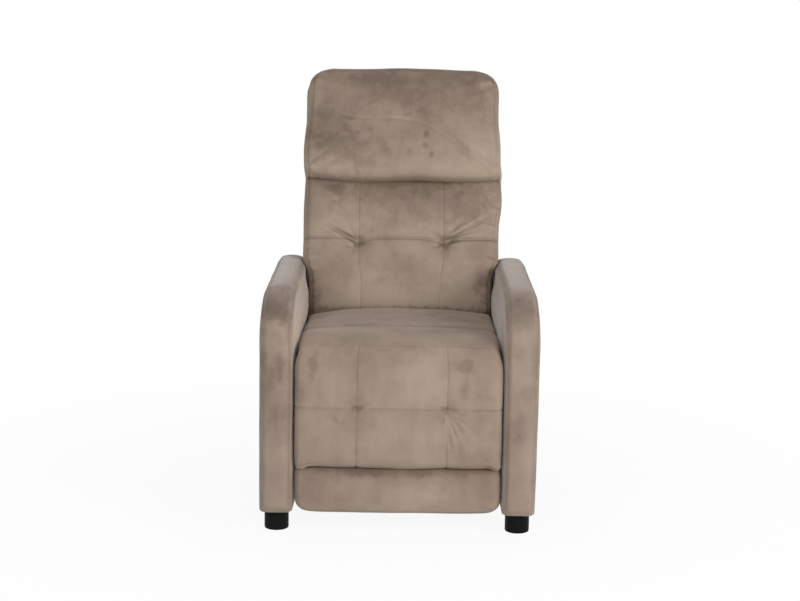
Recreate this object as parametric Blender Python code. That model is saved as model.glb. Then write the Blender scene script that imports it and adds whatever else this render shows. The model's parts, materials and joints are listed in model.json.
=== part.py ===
"""Push-back recliner armchair: base with arms, swing-link seat carrier, leaning back and footrest.

Metres, +Z up, the sitter faces -Y, and the origin is on the floor under the middle of the chair.
"""
import math

import bmesh
import bpy
from mathutils import Matrix, Vector

# Driving sizes of the arms and feet
SEAT_GAP = 0.470
ARM_WIDTH = 0.075
ARM_TOP = 0.531
ARM_LENGTH = 0.660
ARM_FRONT_Y = -0.383
ARM_NOSE_RADIUS = 0.070
ARM_REAR_RADIUS = 0.035
ARM_SOFT_EDGE = 0.012
ARM_PADDING = 0.0225
FOOT_HEIGHT = 0.045
FOOT_DIAMETER = 0.055
FOOT_SOFT_EDGE = 0.003
FOOT_INSET = 0.050
FOOT_STUD_DIAMETER = 0.010
FOOT_STUD_LENGTH = 0.030
STRETCHER_THICKNESS = 0.022
STRETCHER_FLOOR_GAP = 0.060
FRONT_STRETCHER_HEIGHT = 0.070
REAR_STRETCHER_HEIGHT = 0.200
STRETCHER_REACH = 0.055
REAR_STRETCHER_SETBACK = 0.062

# Driving sizes of the steel linkage
STEEL = 0.0025
LAYER_PLAY = 0.0015
PIN_RADIUS = 0.004
PIN_HEAD_RADIUS = 0.007
PIN_HEAD = 0.001
BOSS_RADIUS = 0.011
PLATE_EYE = 0.020
SLIM_EYE = 0.009
SWING_LINK = 0.110
SWING_LEAN = math.radians(24)
SWING_PIVOT_HEIGHT = 0.165
REAR_SWING_SETBACK = 0.240
FRONT_SWING_SETBACK = 0.210
CROSS_TUBE_DIAMETER = 0.018
CROSS_TUBE_SHARE = 0.30
BACK_LINK_BEHIND = 0.067
BACK_LINK_BELOW = 0.0694
BACK_PIVOT_SETBACK = 0.135
FOOT_PIVOT_SETBACK = 0.120
BACK_LINK_PIN = (0.0128, -0.0316)
ROD_REAR_PIN = (0.0237, -0.0595)
ROD_FRONT_PIN = (0.0192, -0.0175)
ROD_HOLE_SHIFT = (0.0004, -0.0021)
ROD_HOLE_RADIUS = 0.0068
ROD_HALF_WIDTH = 0.006
ROD_DIP = 0.002
ROD_EYE_RADIUS = 0.011
ROD_REAR_RUN = 0.040
ROD_FRONT_RUN = 0.070

# Driving sizes of the seat
RAIL_HEIGHT = 0.0744
RAIL_DROP = 0.0124
RAIL_THICKNESS = 0.022
ANGLE_FLANGE = 0.020
HINGE_DROP = 0.0275
HINGE_EYE = 0.014
FRONT_RAIL_SETBACK = 0.001
REAR_RAIL_SETBACK = 0.033
SPRING_WIRE = 0.004
SPRING_COUNT = 4
SPRING_PITCH = 0.095
SPRING_SWING = 0.022
SPRING_BENDS = 5
SPRING_DROP = 0.010
SPRING_STEPS = 6
DUST_COVER = 0.0015
SEAT_CUSHION = 0.1167
SEAT_REAR_LOW = 0.022
SEAT_FALL_POWER = 1.5
SEAT_SIDE_GAP = 0.002
SEAT_FRONT_SETBACK = 0.030
SEAT_EDGE = 0.028
CHAISE_POWER = 0.55
CHAISE_FLOOR_SHARE = 0.5

# Driving sizes of the footrest
FOOTREST_DEPTH = 0.130
FOOTREST_PAD = 0.055
FOOTREST_BOARD = 0.015
FOOTREST_BOARD_INSET = 0.025
FOOTREST_SIDE_GAP = 0.004
FOOTREST_CREASE = 0.152
FOOTREST_FLOOR_GAP = 0.0485
FOOTREST_EDGE = 0.022
ROLL_CORNER = 0.035
BRACKET_TOP_GAP = 0.018
BRACKET_LENGTH = 0.160
BRACKET_FLANGE = 0.030
FRONT_TUFT_HEIGHT = 0.289

# Driving sizes of the back, measured along it from its hinge and forward of the hinge
BACK_LEAN = math.radians(14)
BACK_FACE = 0.053
HEADREST_FACE = 0.076
CUSHION_BACK = -0.019
WEBBING = 0.002
WEBBING_WIDTH = 0.050
WEBBING_COUNT = 3
POST_WIDTH = 0.025
POST_DEPTH = 0.040
BACK_FOOT = 0.030
LUMBAR_FOOT = 0.036
HEADREST_FOOT = 0.4393
POST_TOP = 0.6745
BACK_RAIL = 0.040
MIDDLE_RAIL_HEIGHT = 0.430
BOTTOM_RAIL_HEIGHT = 0.045
COVER_TOP = 0.7145
HEADREST_TOP = 0.7295
COVER_WALL = 0.0145
COVER_SIDE = 0.0105
HEADREST_HALF = 0.2435
HEADREST_TAPER = 0.009
HEADREST_CORNER = 0.055
BACK_TUFT_HEIGHT = 0.2885
BRACKET_STRAP = 0.200
STRAP_RADIUS = 0.012

# Sewing shared by the back and the front panel
SEAM_SPREAD = 0.100
SEAM_WIDTH = 0.011
SEAM_DEPTH = 0.010
TUFT_WIDTH = 0.024
TUFT_DEPTH = 0.016
CROSS_SEAM_SHARE = 0.8
SEAM_END_SHARE = 0.4
SOFT_CROWN = 0.012
DRAW_IN = 0.004

# Fits and facet counts
FIT = 0.0003
RUNNING = 0.0003
OPEN_PIVOT_PLAY = 0.0009
SINK = 0.001
ROUND_SIDES = 12
FOOT_SIDES = 20
ARC_STEPS = 8

# Heights and places that follow from the sizes above
ARM_INNER = SEAT_GAP / 2
ARM_OUTER = ARM_INNER + ARM_WIDTH
ARM_MIDDLE = (ARM_INNER + ARM_OUTER) / 2
ARM_REAR_Y = ARM_FRONT_Y + ARM_LENGTH
BOARD_HALF = ARM_WIDTH / 2 - ARM_PADDING
FRONT_SWING_Y = ARM_FRONT_Y + FRONT_SWING_SETBACK
REAR_SWING_Y = ARM_REAR_Y - REAR_SWING_SETBACK
FOOT_PIVOT_Y = ARM_FRONT_Y + FOOT_PIVOT_SETBACK
BACK_PIVOT_Y = ARM_REAR_Y - BACK_PIVOT_SETBACK
SWING_BACK = SWING_LINK * math.sin(SWING_LEAN)
SEAT_PIVOT_Z = SWING_PIVOT_HEIGHT + SWING_LINK * math.cos(SWING_LEAN)
RAIL_BOTTOM = SEAT_PIVOT_Z - RAIL_DROP
RAIL_TOP = RAIL_BOTTOM + RAIL_HEIGHT
HINGE_Z = RAIL_TOP - HINGE_DROP
CUSHION_BOTTOM = RAIL_TOP + FIT
SEAT_TOP = CUSHION_BOTTOM + SEAT_CUSHION
FRONT_FACE_Y = FOOT_PIVOT_Y - FOOTREST_DEPTH
BOARD_FRONT_Y = FRONT_FACE_Y + FOOTREST_PAD
BOARD_REAR_Y = BOARD_FRONT_Y + FOOTREST_BOARD
POST_FRONT = CUSHION_BACK - WEBBING - 2 * FIT
POST_REAR = POST_FRONT - POST_DEPTH
COVER_REAR = POST_REAR - FIT - COVER_WALL
FRONT_RAIL_Y = FOOT_PIVOT_Y + PIN_HEAD_RADIUS + FRONT_RAIL_SETBACK
REAR_RAIL_Y = BACK_PIVOT_Y - REAR_RAIL_SETBACK

# Places of the pivots as (y, z)
REAR_BASE = (REAR_SWING_Y, SWING_PIVOT_HEIGHT)
FRONT_BASE = (FRONT_SWING_Y, SWING_PIVOT_HEIGHT)
REAR_SEAT = (REAR_SWING_Y + SWING_BACK, SEAT_PIVOT_Z)
FRONT_SEAT = (FRONT_SWING_Y + SWING_BACK, SEAT_PIVOT_Z)
BACK_LINK_BASE = (REAR_SWING_Y + BACK_LINK_BEHIND, SWING_PIVOT_HEIGHT - BACK_LINK_BELOW)
BACK_HINGE = (BACK_PIVOT_Y, HINGE_Z)
FOOT_HINGE = (FOOT_PIVOT_Y, HINGE_Z)


def shifted(point, step):
    """Return a (y, z) place moved by a (y, z) step."""
    return point[0] + step[0], point[1] + step[1]


BACK_LINK_TOP = shifted(BACK_HINGE, BACK_LINK_PIN)
ROD_REAR = shifted(BACK_HINGE, ROD_REAR_PIN)
ROD_FRONT = shifted(FOOT_HINGE, ROD_FRONT_PIN)


def layer(index):
    """Return the inner and outer x of a steel layer, counted inward from the arm."""
    outer = ARM_INNER - FIT - index * (STEEL + LAYER_PLAY)
    return outer - STEEL, outer


# Steel layers from the arm inward
PLATE_LAYER = layer(0)
LINK_LAYER = layer(1)
ROD_LAYER = layer(2)
BRACKET_LAYER = layer(3)
ANGLE_LAYER = layer(4)
RAIL_OUTER = ANGLE_LAYER[0] - FIT
POST_OUTER = BRACKET_LAYER[0] - FIT
COVER_HALF = BRACKET_LAYER[1] + FIT + COVER_SIDE
LUMBAR_HALF = COVER_HALF
SEAT_HALF = ARM_INNER - SEAT_SIDE_GAP
FOOTREST_HALF = ARM_INNER - FOOTREST_SIDE_GAP

FINISHES = {
    "velvet": ((0.31, 0.25, 0.19, 1), 0.9, 0.0),
    "plywood": ((0.55, 0.38, 0.22, 1), 0.6, 0.0),
    "steel": ((0.05, 0.05, 0.055, 1), 0.4, 0.9),
    "spring_steel": ((0.30, 0.30, 0.31, 1), 0.35, 1.0),
    "black_plastic": ((0.012, 0.012, 0.012, 1), 0.45, 0.0),
    "lining": ((0.015, 0.015, 0.016, 1), 0.9, 0.0),
    "webbing": ((0.03, 0.03, 0.03, 1), 0.8, 0.0),
}


def finish(name):
    """Return the named Principled material, made on first use."""
    found = bpy.data.materials.get(name)
    if found:
        return found
    made = bpy.data.materials.new(name)
    made.use_nodes = True
    shader = made.node_tree.nodes["Principled BSDF"]
    colour, roughness, metallic = FINISHES[name]
    shader.inputs["Base Color"].default_value = colour
    shader.inputs["Roughness"].default_value = roughness
    shader.inputs["Metallic"].default_value = metallic
    return made


def clear_scene():
    """Remove every object that the file holds."""
    for old in list(bpy.data.objects):
        bpy.data.objects.remove(old, do_unlink=True)


class Body:
    """A rigid body: an empty on its joint axis, and the pieces that move with it."""

    def __init__(self, name, place=(0.0, 0.0), parent=None, lean=0.0):
        self.rest = Matrix.Translation((0, *place)) @ Matrix.Rotation(-lean, 4, "X")
        self.empty = bpy.data.objects.new(name + "_axis", None)
        bpy.context.collection.objects.link(self.empty)
        self.empty.matrix_basis = self.rest
        if parent:
            self.empty.parent = parent.empty
            self.empty.matrix_basis = parent.rest.inverted() @ self.rest

    def add(self, name, shape, coat, local=False, smooth=False):
        """Link a bmesh as a named piece of this body and return its object."""
        if not local:
            bmesh.ops.transform(shape, matrix=self.rest.inverted(), verts=shape.verts)
        bmesh.ops.recalc_face_normals(shape, faces=shape.faces)
        mesh = bpy.data.meshes.new(name)
        shape.to_mesh(mesh)
        shape.free()
        if smooth:
            mesh.shade_smooth()
            mesh.set_sharp_from_angle(angle=math.radians(40))
        piece = bpy.data.objects.new(name, mesh)
        bpy.context.collection.objects.link(piece)
        piece.parent = self.empty
        piece.data.materials.append(finish(coat))
        return piece

    def combine(self, piece, shape, operation, local=False):
        """Cut a bmesh from a piece, or join it on, with a Boolean modifier."""
        number = len(piece.modifiers) + 1
        tool = self.add(f"{piece.name}_tool_{number}", shape, "steel", local)
        tool.hide_render = True
        tool.display_type = "WIRE"
        change = piece.modifiers.new(f"{operation.lower()}_{number}", "BOOLEAN")
        change.operation = operation
        change.solver = "EXACT"
        change.object = tool


def disc(place, radius, sides=ROUND_SIDES):
    """Return the points of a circle round a (y, z) place."""
    turns = [2 * math.pi * (step + 0.5) / sides for step in range(sides)]
    return [(place[0] + radius * math.cos(turn), place[1] + radius * math.sin(turn)) for turn in turns]


def hull(points):
    """Return the convex outline round (y, z) points, counter-clockwise."""
    ordered = sorted(set(points))

    def side_of(a, b, c):
        return (b[0] - a[0]) * (c[1] - a[1]) - (b[1] - a[1]) * (c[0] - a[0])

    def half(run):
        chain = []
        for point in run:
            while len(chain) > 1 and side_of(chain[-2], chain[-1], point) <= 1e-12:
                chain.pop()
            chain.append(point)
        return chain[:-1]

    return half(ordered) + half(ordered[::-1])


def hull_of_discs(*discs):
    """Return the convex outline round (place, radius) discs."""
    return hull([point for place, radius in discs for point in disc(place, radius)])


def prism(outline, low_x, high_x):
    """Return a bmesh of a (y, z) outline extruded along X."""
    shape = bmesh.new()
    near = [shape.verts.new((low_x, y, z)) for y, z in outline]
    far = [shape.verts.new((high_x, y, z)) for y, z in outline]
    shape.faces.new(near[::-1])
    shape.faces.new(far)
    for step in range(len(outline)):
        after = (step + 1) % len(outline)
        shape.faces.new((near[step], near[after], far[after], far[step]))
    return shape


def block(x_range, y_range, z_range, soften=0.0, segments=2):
    """Return a bmesh box, with softened edges where asked."""
    outline = [(y_range[0], z_range[0]), (y_range[1], z_range[0]),
               (y_range[1], z_range[1]), (y_range[0], z_range[1])]
    shape = prism(outline, *x_range)
    if soften:
        bmesh.ops.bevel(shape, geom=shape.edges[:], offset=soften, segments=segments,
                        affect="EDGES", profile=0.5)
    return shape


def turned(profile, matrix, sides=ROUND_SIDES):
    """Return a bmesh of (radius, height) points turned about Z, then placed by a matrix."""
    shape = bmesh.new()
    rings = []
    for radius, height in profile:
        if radius == 0:
            rings.append([shape.verts.new((0, 0, height))])
            continue
        angles = [2 * math.pi * step / sides for step in range(sides)]
        rings.append([shape.verts.new((radius * math.cos(a), radius * math.sin(a), height)) for a in angles])
    for low, high in zip(rings, rings[1:]):
        for step in range(sides):
            after = (step + 1) % sides
            below = [low[step % len(low)], low[after % len(low)]]
            above = [high[after % len(high)], high[step % len(high)]]
            shape.faces.new(list(dict.fromkeys(below + above)))
    bmesh.ops.transform(shape, matrix=matrix, verts=shape.verts)
    return shape


def along_x(place, x):
    """Return the matrix that lays a turned piece's axis along X from a point."""
    return Matrix.Translation((x, *place)) @ Matrix.Rotation(math.pi / 2, 4, "Y")


def rod_shape(place, radius, x_range):
    """Return a plain round bar along X."""
    length = x_range[1] - x_range[0]
    return turned([(0, 0), (radius, 0), (radius, length), (0, length)], along_x(place, x_range[0]))


def sided(x_range, side):
    """Return an x range of the right side, mirrored when side is -1."""
    return tuple(sorted((side * x_range[0], side * x_range[1])))


def drill(body, piece, place, side, reach, radius=PIN_RADIUS + RUNNING):
    """Cut a pin hole along X through one side's steel layer."""
    wide = (reach[0] - STEEL, reach[1] + STEEL)
    body.combine(piece, rod_shape(place, radius, sided(wide, side)), "DIFFERENCE")


def stud(body, piece, place, side, start, end):
    """Join a fixed stud along X to a steel piece."""
    body.combine(piece, rod_shape(place, PIN_RADIUS, sided(tuple(sorted((start, end))), side)), "UNION")


def arm_outline(inset, low):
    """Return the side outline of an arm, drawn in by an inset, down to a low edge."""
    front, rear, top = ARM_FRONT_Y + inset, ARM_REAR_Y - inset, ARM_TOP - inset
    nose, heel = ARM_NOSE_RADIUS - inset, ARM_REAR_RADIUS - inset / 2
    points = [(front, low), (rear, low)]
    for step in range(ARC_STEPS + 1):
        turn = math.pi / 2 * step / ARC_STEPS
        points.append((rear - heel + heel * math.cos(turn), top - heel + heel * math.sin(turn)))
    for step in range(ARC_STEPS + 1):
        turn = math.pi / 2 * (1 + step / ARC_STEPS)
        points.append((front + nose + nose * math.cos(turn), top - nose + nose * math.sin(turn)))
    return points


def loft(rings):
    """Return a bmesh skinned over closed rings of points, with flat ends."""
    shape = bmesh.new()
    made = [[shape.verts.new(point) for point in ring] for ring in rings]
    for low, high in zip(made, made[1:]):
        for step in range(len(low)):
            after = (step + 1) % len(low)
            shape.faces.new((low[step], low[after], high[after], high[step]))
    shape.faces.new(made[0][::-1])
    shape.faces.new(made[-1])
    return shape


def arm_pad():
    """Return the right arm's outer form with softened long edges."""
    rings = []
    steps = 4
    for step in range(steps + 1):
        turn = math.pi / 2 * step / steps
        inset = ARM_SOFT_EDGE * (1 - math.sin(turn))
        x = ARM_INNER + ARM_SOFT_EDGE * (1 - math.cos(turn))
        rings.append([(x, y, z) for y, z in arm_outline(inset, FOOT_HEIGHT)])
    for step in range(steps + 1):
        turn = math.pi / 2 * (1 - step / steps)
        inset = ARM_SOFT_EDGE * (1 - math.sin(turn))
        x = ARM_OUTER - ARM_SOFT_EDGE * (1 - math.cos(turn))
        rings.append([(x, y, z) for y, z in arm_outline(inset, FOOT_HEIGHT)])
    return loft(rings)


def mirrored(shape, side):
    """Return a right-side bmesh, mirrored across the middle when side is -1."""
    if side < 0:
        bmesh.ops.scale(shape, vec=(-1, 1, 1), verts=shape.verts)
    return shape


def foot_places():
    """Return the front and rear foot centres as (name, y)."""
    return (("front", ARM_FRONT_Y + FOOT_INSET), ("rear", ARM_REAR_Y - FOOT_INSET))


def build_base(base):
    """Make the arms, feet, stretchers and mechanism plates."""
    for word, side in (("left", -1), ("right", 1)):
        board_x = sided((ARM_MIDDLE - BOARD_HALF, ARM_MIDDLE + BOARD_HALF), side)
        board_shape = prism(arm_outline(ARM_PADDING, FOOT_HEIGHT), *board_x)
        board = base.add(f"arm_board_{word}", board_shape, "plywood")
        cover = base.add(f"arm_cover_{word}", mirrored(arm_pad(), side), "velvet", smooth=True)
        pocket_x = (board_x[0] - FIT, board_x[1] + FIT)
        pocket = arm_outline(ARM_PADDING - FIT, FOOT_HEIGHT - ARM_PADDING)
        base.combine(cover, prism(pocket, *pocket_x), "DIFFERENCE")
        for end, y in foot_places():
            centre = (side * ARM_MIDDLE, y, 0)
            hole = FOOT_STUD_DIAMETER / 2 + FIT
            tip = FOOT_HEIGHT + FOOT_STUD_LENGTH + FIT
            bore = turned([(0, FOOT_HEIGHT - SINK), (hole, FOOT_HEIGHT - SINK), (hole, tip), (0, tip)],
                          Matrix.Translation(centre))
            base.combine(board, bore, "DIFFERENCE")
            base.add(f"foot_{end}_{word}", foot_shape(centre), "black_plastic", smooth=True)
        pivots = (FRONT_BASE, REAR_BASE, BACK_LINK_BASE)
        plate_outline = hull_of_discs(*((place, PLATE_EYE) for place in pivots))
        plate = base.add(f"mechanism_plate_{word}", prism(plate_outline, *sided(PLATE_LAYER, side)), "steel")
        for place in pivots:
            stud(base, plate, place, side, PLATE_LAYER[0] + SINK, LINK_LAYER[0] - PIN_HEAD)
    reach = (-ARM_INNER + FIT, ARM_INNER - FIT)
    front_y = FRONT_SWING_Y - STRETCHER_REACH
    low = STRETCHER_FLOOR_GAP
    base.add("front_stretcher", block(reach, (front_y - STRETCHER_THICKNESS, front_y),
                                      (low, low + FRONT_STRETCHER_HEIGHT), SINK, 1), "plywood")
    rear_y = ARM_REAR_Y - REAR_STRETCHER_SETBACK
    base.add("rear_stretcher", block(reach, (rear_y - STRETCHER_THICKNESS, rear_y),
                                     (low, low + REAR_STRETCHER_HEIGHT), SINK, 1), "plywood")


def foot_shape(centre):
    """Return a round foot with its stud, standing on the floor at a centre."""
    wide = FOOT_DIAMETER / 2
    top = FOOT_HEIGHT - FIT
    thread = FOOT_STUD_DIAMETER / 2
    tip = FOOT_HEIGHT + FOOT_STUD_LENGTH
    soft = FOOT_SOFT_EDGE
    profile = [(0, 0), (wide - soft, 0), (wide - soft / 3, soft / 3), (wide, soft), (wide, top),
               (thread, top), (thread, tip), (0, tip)]
    return turned(profile, Matrix.Translation(centre), FOOT_SIDES)


def link_share(low, high, share):
    """Return the (y, z) place a share of the way from one pin to another."""
    return low[0] + (high[0] - low[0]) * share, low[1] + (high[1] - low[1]) * share


def build_swing(body, name, low, high):
    """Make a left and a right swing link and the tube between them."""
    for word, side in (("left", -1), ("right", 1)):
        outline = hull_of_discs((low, BOSS_RADIUS), (high, BOSS_RADIUS))
        link = body.add(f"{name}_link_{word}", prism(outline, *sided(LINK_LAYER, side)), "steel")
        drill(body, link, low, side, LINK_LAYER)
        drill(body, link, high, side, LINK_LAYER)
    reach = LINK_LAYER[0] - FIT
    middle = link_share(low, high, CROSS_TUBE_SHARE)
    tube = rod_shape(middle, CROSS_TUBE_DIAMETER / 2, (-reach, reach))
    body.add(f"{name}_cross_tube", tube, "steel", smooth=True)


def build_seat_frame(seat):
    """Make the steel angles, wooden rails, springs, lining and hinge pins of the seat."""
    rail_z = (RAIL_BOTTOM, RAIL_TOP)
    flange_z = (RAIL_BOTTOM - FIT - STEEL, RAIL_BOTTOM - FIT)
    front_y = (FRONT_RAIL_Y, FRONT_RAIL_Y + RAIL_THICKNESS)
    rear_y = (REAR_RAIL_Y, REAR_RAIL_Y + RAIL_THICKNESS)
    side_y = (front_y[1] + FIT, rear_y[0] - FIT)
    for word, side in (("left", -1), ("right", 1)):
        outline = hull(disc(FOOT_HINGE, HINGE_EYE) + disc(BACK_HINGE, HINGE_EYE)
                       + [(front_y[1], flange_z[0]), (rear_y[0], flange_z[0])])
        angle = seat.add(f"seat_angle_{word}", prism(outline, *sided(ANGLE_LAYER, side)), "steel")
        flange_x = sided((ANGLE_LAYER[0] - ANGLE_FLANGE, ANGLE_LAYER[1]), side)
        seat.combine(angle, block(flange_x, (front_y[1], rear_y[0]), flange_z), "UNION")
        for place in (FRONT_SEAT, REAR_SEAT):
            stud(seat, angle, place, side, ANGLE_LAYER[1] - SINK, LINK_LAYER[1] + PIN_HEAD)
        for place in (FOOT_HINGE, BACK_HINGE):
            drill(seat, angle, place, side, ANGLE_LAYER)
        rail_x = sided((RAIL_OUTER - RAIL_THICKNESS, RAIL_OUTER), side)
        seat.add(f"seat_rail_{word}", block(rail_x, side_y, rail_z, SINK, 1), "plywood")
        for use, place in (("footrest", FOOT_HINGE), ("back", BACK_HINGE)):
            seat.add(f"{use}_hinge_pin_{word}", hinge_pin(place, side), "steel", smooth=True)
    across = (-RAIL_OUTER, RAIL_OUTER)
    seat.add("seat_rail_front", block(across, front_y, rail_z, SINK, 1), "plywood")
    seat.add("seat_rail_rear", block(across, rear_y, rail_z, SINK, 1), "plywood")
    inner = RAIL_OUTER - ANGLE_FLANGE - SINK
    seat.add("dust_cover", block((-inner, inner), (front_y[0] + SINK, rear_y[1] - SINK),
                                 (RAIL_BOTTOM - FIT - DUST_COVER, RAIL_BOTTOM - FIT)), "lining")
    for number in range(SPRING_COUNT):
        x = SPRING_PITCH * (number - (SPRING_COUNT - 1) / 2)
        seat_spring(seat, f"seat_spring_{number + 1}", x, side_y)


def hinge_pin(place, side):
    """Return a headed hinge pin through a seat angle and the bracket beside it."""
    low, high = ANGLE_LAYER[0] - FIT, BRACKET_LAYER[1] + FIT
    head = PIN_HEAD_RADIUS
    profile = [(0, low - PIN_HEAD), (head, low - PIN_HEAD), (head, low), (PIN_RADIUS, low),
               (PIN_RADIUS, high), (head, high), (head, high + PIN_HEAD), (0, high + PIN_HEAD)]
    return mirrored(turned(profile, along_x(place, 0)), side)


def seat_spring(seat, name, x, y_range):
    """Make one sinuous spring between the front and rear rails, as a single bent wire."""
    start, end = y_range
    z = RAIL_TOP - SPRING_DROP
    points = [(x, start, z)]
    steps = SPRING_BENDS * SPRING_STEPS
    lead = SPRING_WIRE * 2
    for step in range(steps + 1):
        share = step / steps
        y = start + lead + (end - start - 2 * lead) * share
        points.append((x + SPRING_SWING * math.sin(2 * math.pi * SPRING_BENDS * share), y, z))
    points.append((x, end, z))
    curve = bpy.data.curves.new(name, "CURVE")
    curve.dimensions = "3D"
    curve.bevel_depth = SPRING_WIRE / 2
    curve.bevel_resolution = 1
    curve.use_fill_caps = True
    spline = curve.splines.new("POLY")
    spline.points.add(len(points) - 1)
    for knot, place in zip(spline.points, points):
        knot.co = (*(seat.rest.inverted() @ Vector(place)), 1)
    wire = bpy.data.objects.new(name, curve)
    bpy.context.collection.objects.link(wire)
    wire.parent = seat.empty
    curve.materials.append(finish("spring_steel"))


def build_footrest(footrest):
    """Make the footrest's board and brackets."""
    half = FOOTREST_HALF - FOOTREST_BOARD_INSET
    top = HINGE_Z + BRACKET_TOP_GAP
    low = FOOTREST_FLOOR_GAP + FOOTREST_BOARD
    board = block((-half, half), (BOARD_FRONT_Y, BOARD_REAR_Y), (low, top), SINK, 1)
    footrest.add("footrest_board", board, "plywood")
    edge_y = BOARD_REAR_Y + FIT
    for word, side in (("left", -1), ("right", 1)):
        outline = hull(disc(FOOT_HINGE, HINGE_EYE) + disc(ROD_FRONT, BOSS_RADIUS)
                       + [(edge_y, HINGE_Z), (edge_y, HINGE_Z - BRACKET_LENGTH)])
        web = prism(outline, *sided(BRACKET_LAYER, side))
        bracket = footrest.add(f"footrest_bracket_{word}", web, "steel")
        flange_x = sided((BRACKET_LAYER[1] - BRACKET_FLANGE, BRACKET_LAYER[1]), side)
        flange = block(flange_x, (edge_y, edge_y + STEEL), (HINGE_Z - BRACKET_LENGTH, HINGE_Z))
        footrest.combine(bracket, flange, "UNION")
        stud(footrest, bracket, ROD_FRONT, side, BRACKET_LAYER[1] - SINK, ROD_LAYER[1] + PIN_HEAD / 2)
        drill(footrest, bracket, FOOT_HINGE, side, BRACKET_LAYER)


def build_back_frame(back):
    """Make the posts, rails, webbing, brackets and rear cover of the back, in its own leaning frame."""
    post_y = (-POST_FRONT, -POST_REAR)
    for word, side in (("left", -1), ("right", 1)):
        post_x = sided((POST_OUTER - POST_WIDTH, POST_OUTER), side)
        back.add(f"back_post_{word}", block(post_x, post_y, (BACK_FOOT, POST_TOP), SINK, 1), "plywood", True)
        back_bracket(back, word, side)
    inner = POST_OUTER - POST_WIDTH - FIT
    rails = (("bottom", BOTTOM_RAIL_HEIGHT), ("middle", MIDDLE_RAIL_HEIGHT), ("top", POST_TOP - BACK_RAIL))
    for word, low in rails:
        rail = block((-inner, inner), post_y, (low, low + BACK_RAIL), SINK, 1)
        back.add(f"back_rail_{word}", rail, "plywood", True)
    strap_y = (-CUSHION_BACK + FIT, -CUSHION_BACK + FIT + WEBBING)
    span = MIDDLE_RAIL_HEIGHT - BOTTOM_RAIL_HEIGHT - BACK_RAIL
    for number in range(WEBBING_COUNT):
        low = BOTTOM_RAIL_HEIGHT + BACK_RAIL + span * (number + 0.5) / WEBBING_COUNT - WEBBING_WIDTH / 2
        strap = block((-POST_OUTER, POST_OUTER), strap_y, (low, low + WEBBING_WIDTH))
        back.add(f"back_webbing_{number + 1}", strap, "webbing", True)
    build_back_cover(back)


def back_bracket(back, word, side):
    """Make the steel bracket that hinges one back post on the seat and carries its link pins."""
    middle = (-POST_FRONT - POST_REAR) / 2
    foot = back.rest @ Vector((0, middle, BACK_FOOT - STRAP_RADIUS))
    head = back.rest @ Vector((0, middle, BRACKET_STRAP))
    knee, end = (foot.y, foot.z), (head.y, head.z)
    ears = hull_of_discs((BACK_HINGE, HINGE_EYE), (BACK_LINK_TOP, BOSS_RADIUS), (ROD_REAR, BOSS_RADIUS),
                         (knee, STRAP_RADIUS))
    bracket = back.add(f"back_bracket_{word}", prism(ears, *sided(BRACKET_LAYER, side)), "steel")
    strap = prism(hull_of_discs((knee, STRAP_RADIUS), (end, STRAP_RADIUS)), *sided(BRACKET_LAYER, side))
    back.combine(bracket, strap, "UNION")
    stud(back, bracket, BACK_LINK_TOP, side, BRACKET_LAYER[1] - SINK, LINK_LAYER[1] + PIN_HEAD)
    stud(back, bracket, ROD_REAR, side, BRACKET_LAYER[1] - SINK, ROD_LAYER[1] + PIN_HEAD / 2)
    drill(back, bracket, BACK_HINGE, side, BRACKET_LAYER)


def cover_outline(inset):
    """Return the (x, z) outline of the rear cover, drawn in by an inset, with round upper corners."""
    half, narrow = COVER_HALF - inset, COVER_HALF - HEADREST_TAPER - inset
    top, corner = COVER_TOP - inset, HEADREST_CORNER - inset
    right = [(half, BACK_FOOT), (half, HEADREST_FOOT)]
    for step in range(ARC_STEPS + 1):
        turn = math.pi / 2 * step / ARC_STEPS
        right.append((narrow - corner + corner * math.cos(turn), top - corner + corner * math.sin(turn)))
    return right + [(-x, z) for x, z in reversed(right)]


def build_back_cover(back):
    """Make the rear cover: a shell round the back frame, open in front and below."""
    front_y, rear_y = -CUSHION_BACK + FIT, -COVER_REAR
    rings = [[(x, front_y, z) for x, z in cover_outline(0.0)]]
    for step in range(4):
        turn = math.pi / 2 * step / 3
        inset = COVER_SIDE * (1 - math.cos(turn))
        y = rear_y - COVER_SIDE * (1 - math.sin(turn))
        rings.append([(x, y, z) for x, z in cover_outline(inset)])
    cover = back.add("back_cover", loft(rings), "velvet", True, smooth=True)
    hollow_y = (front_y - COVER_WALL, -POST_REAR + FIT)
    strap_top = BRACKET_STRAP + STRAP_RADIUS + FIT
    for half, low, high in ((POST_OUTER + FIT, BACK_FOOT - COVER_WALL, POST_TOP + FIT),
                            (COVER_HALF - COVER_SIDE, BACK_FOOT - 2 * COVER_WALL, strap_top)):
        back.combine(cover, block((-half, half), hollow_y, (low, high)), "DIFFERENCE", True)


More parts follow.
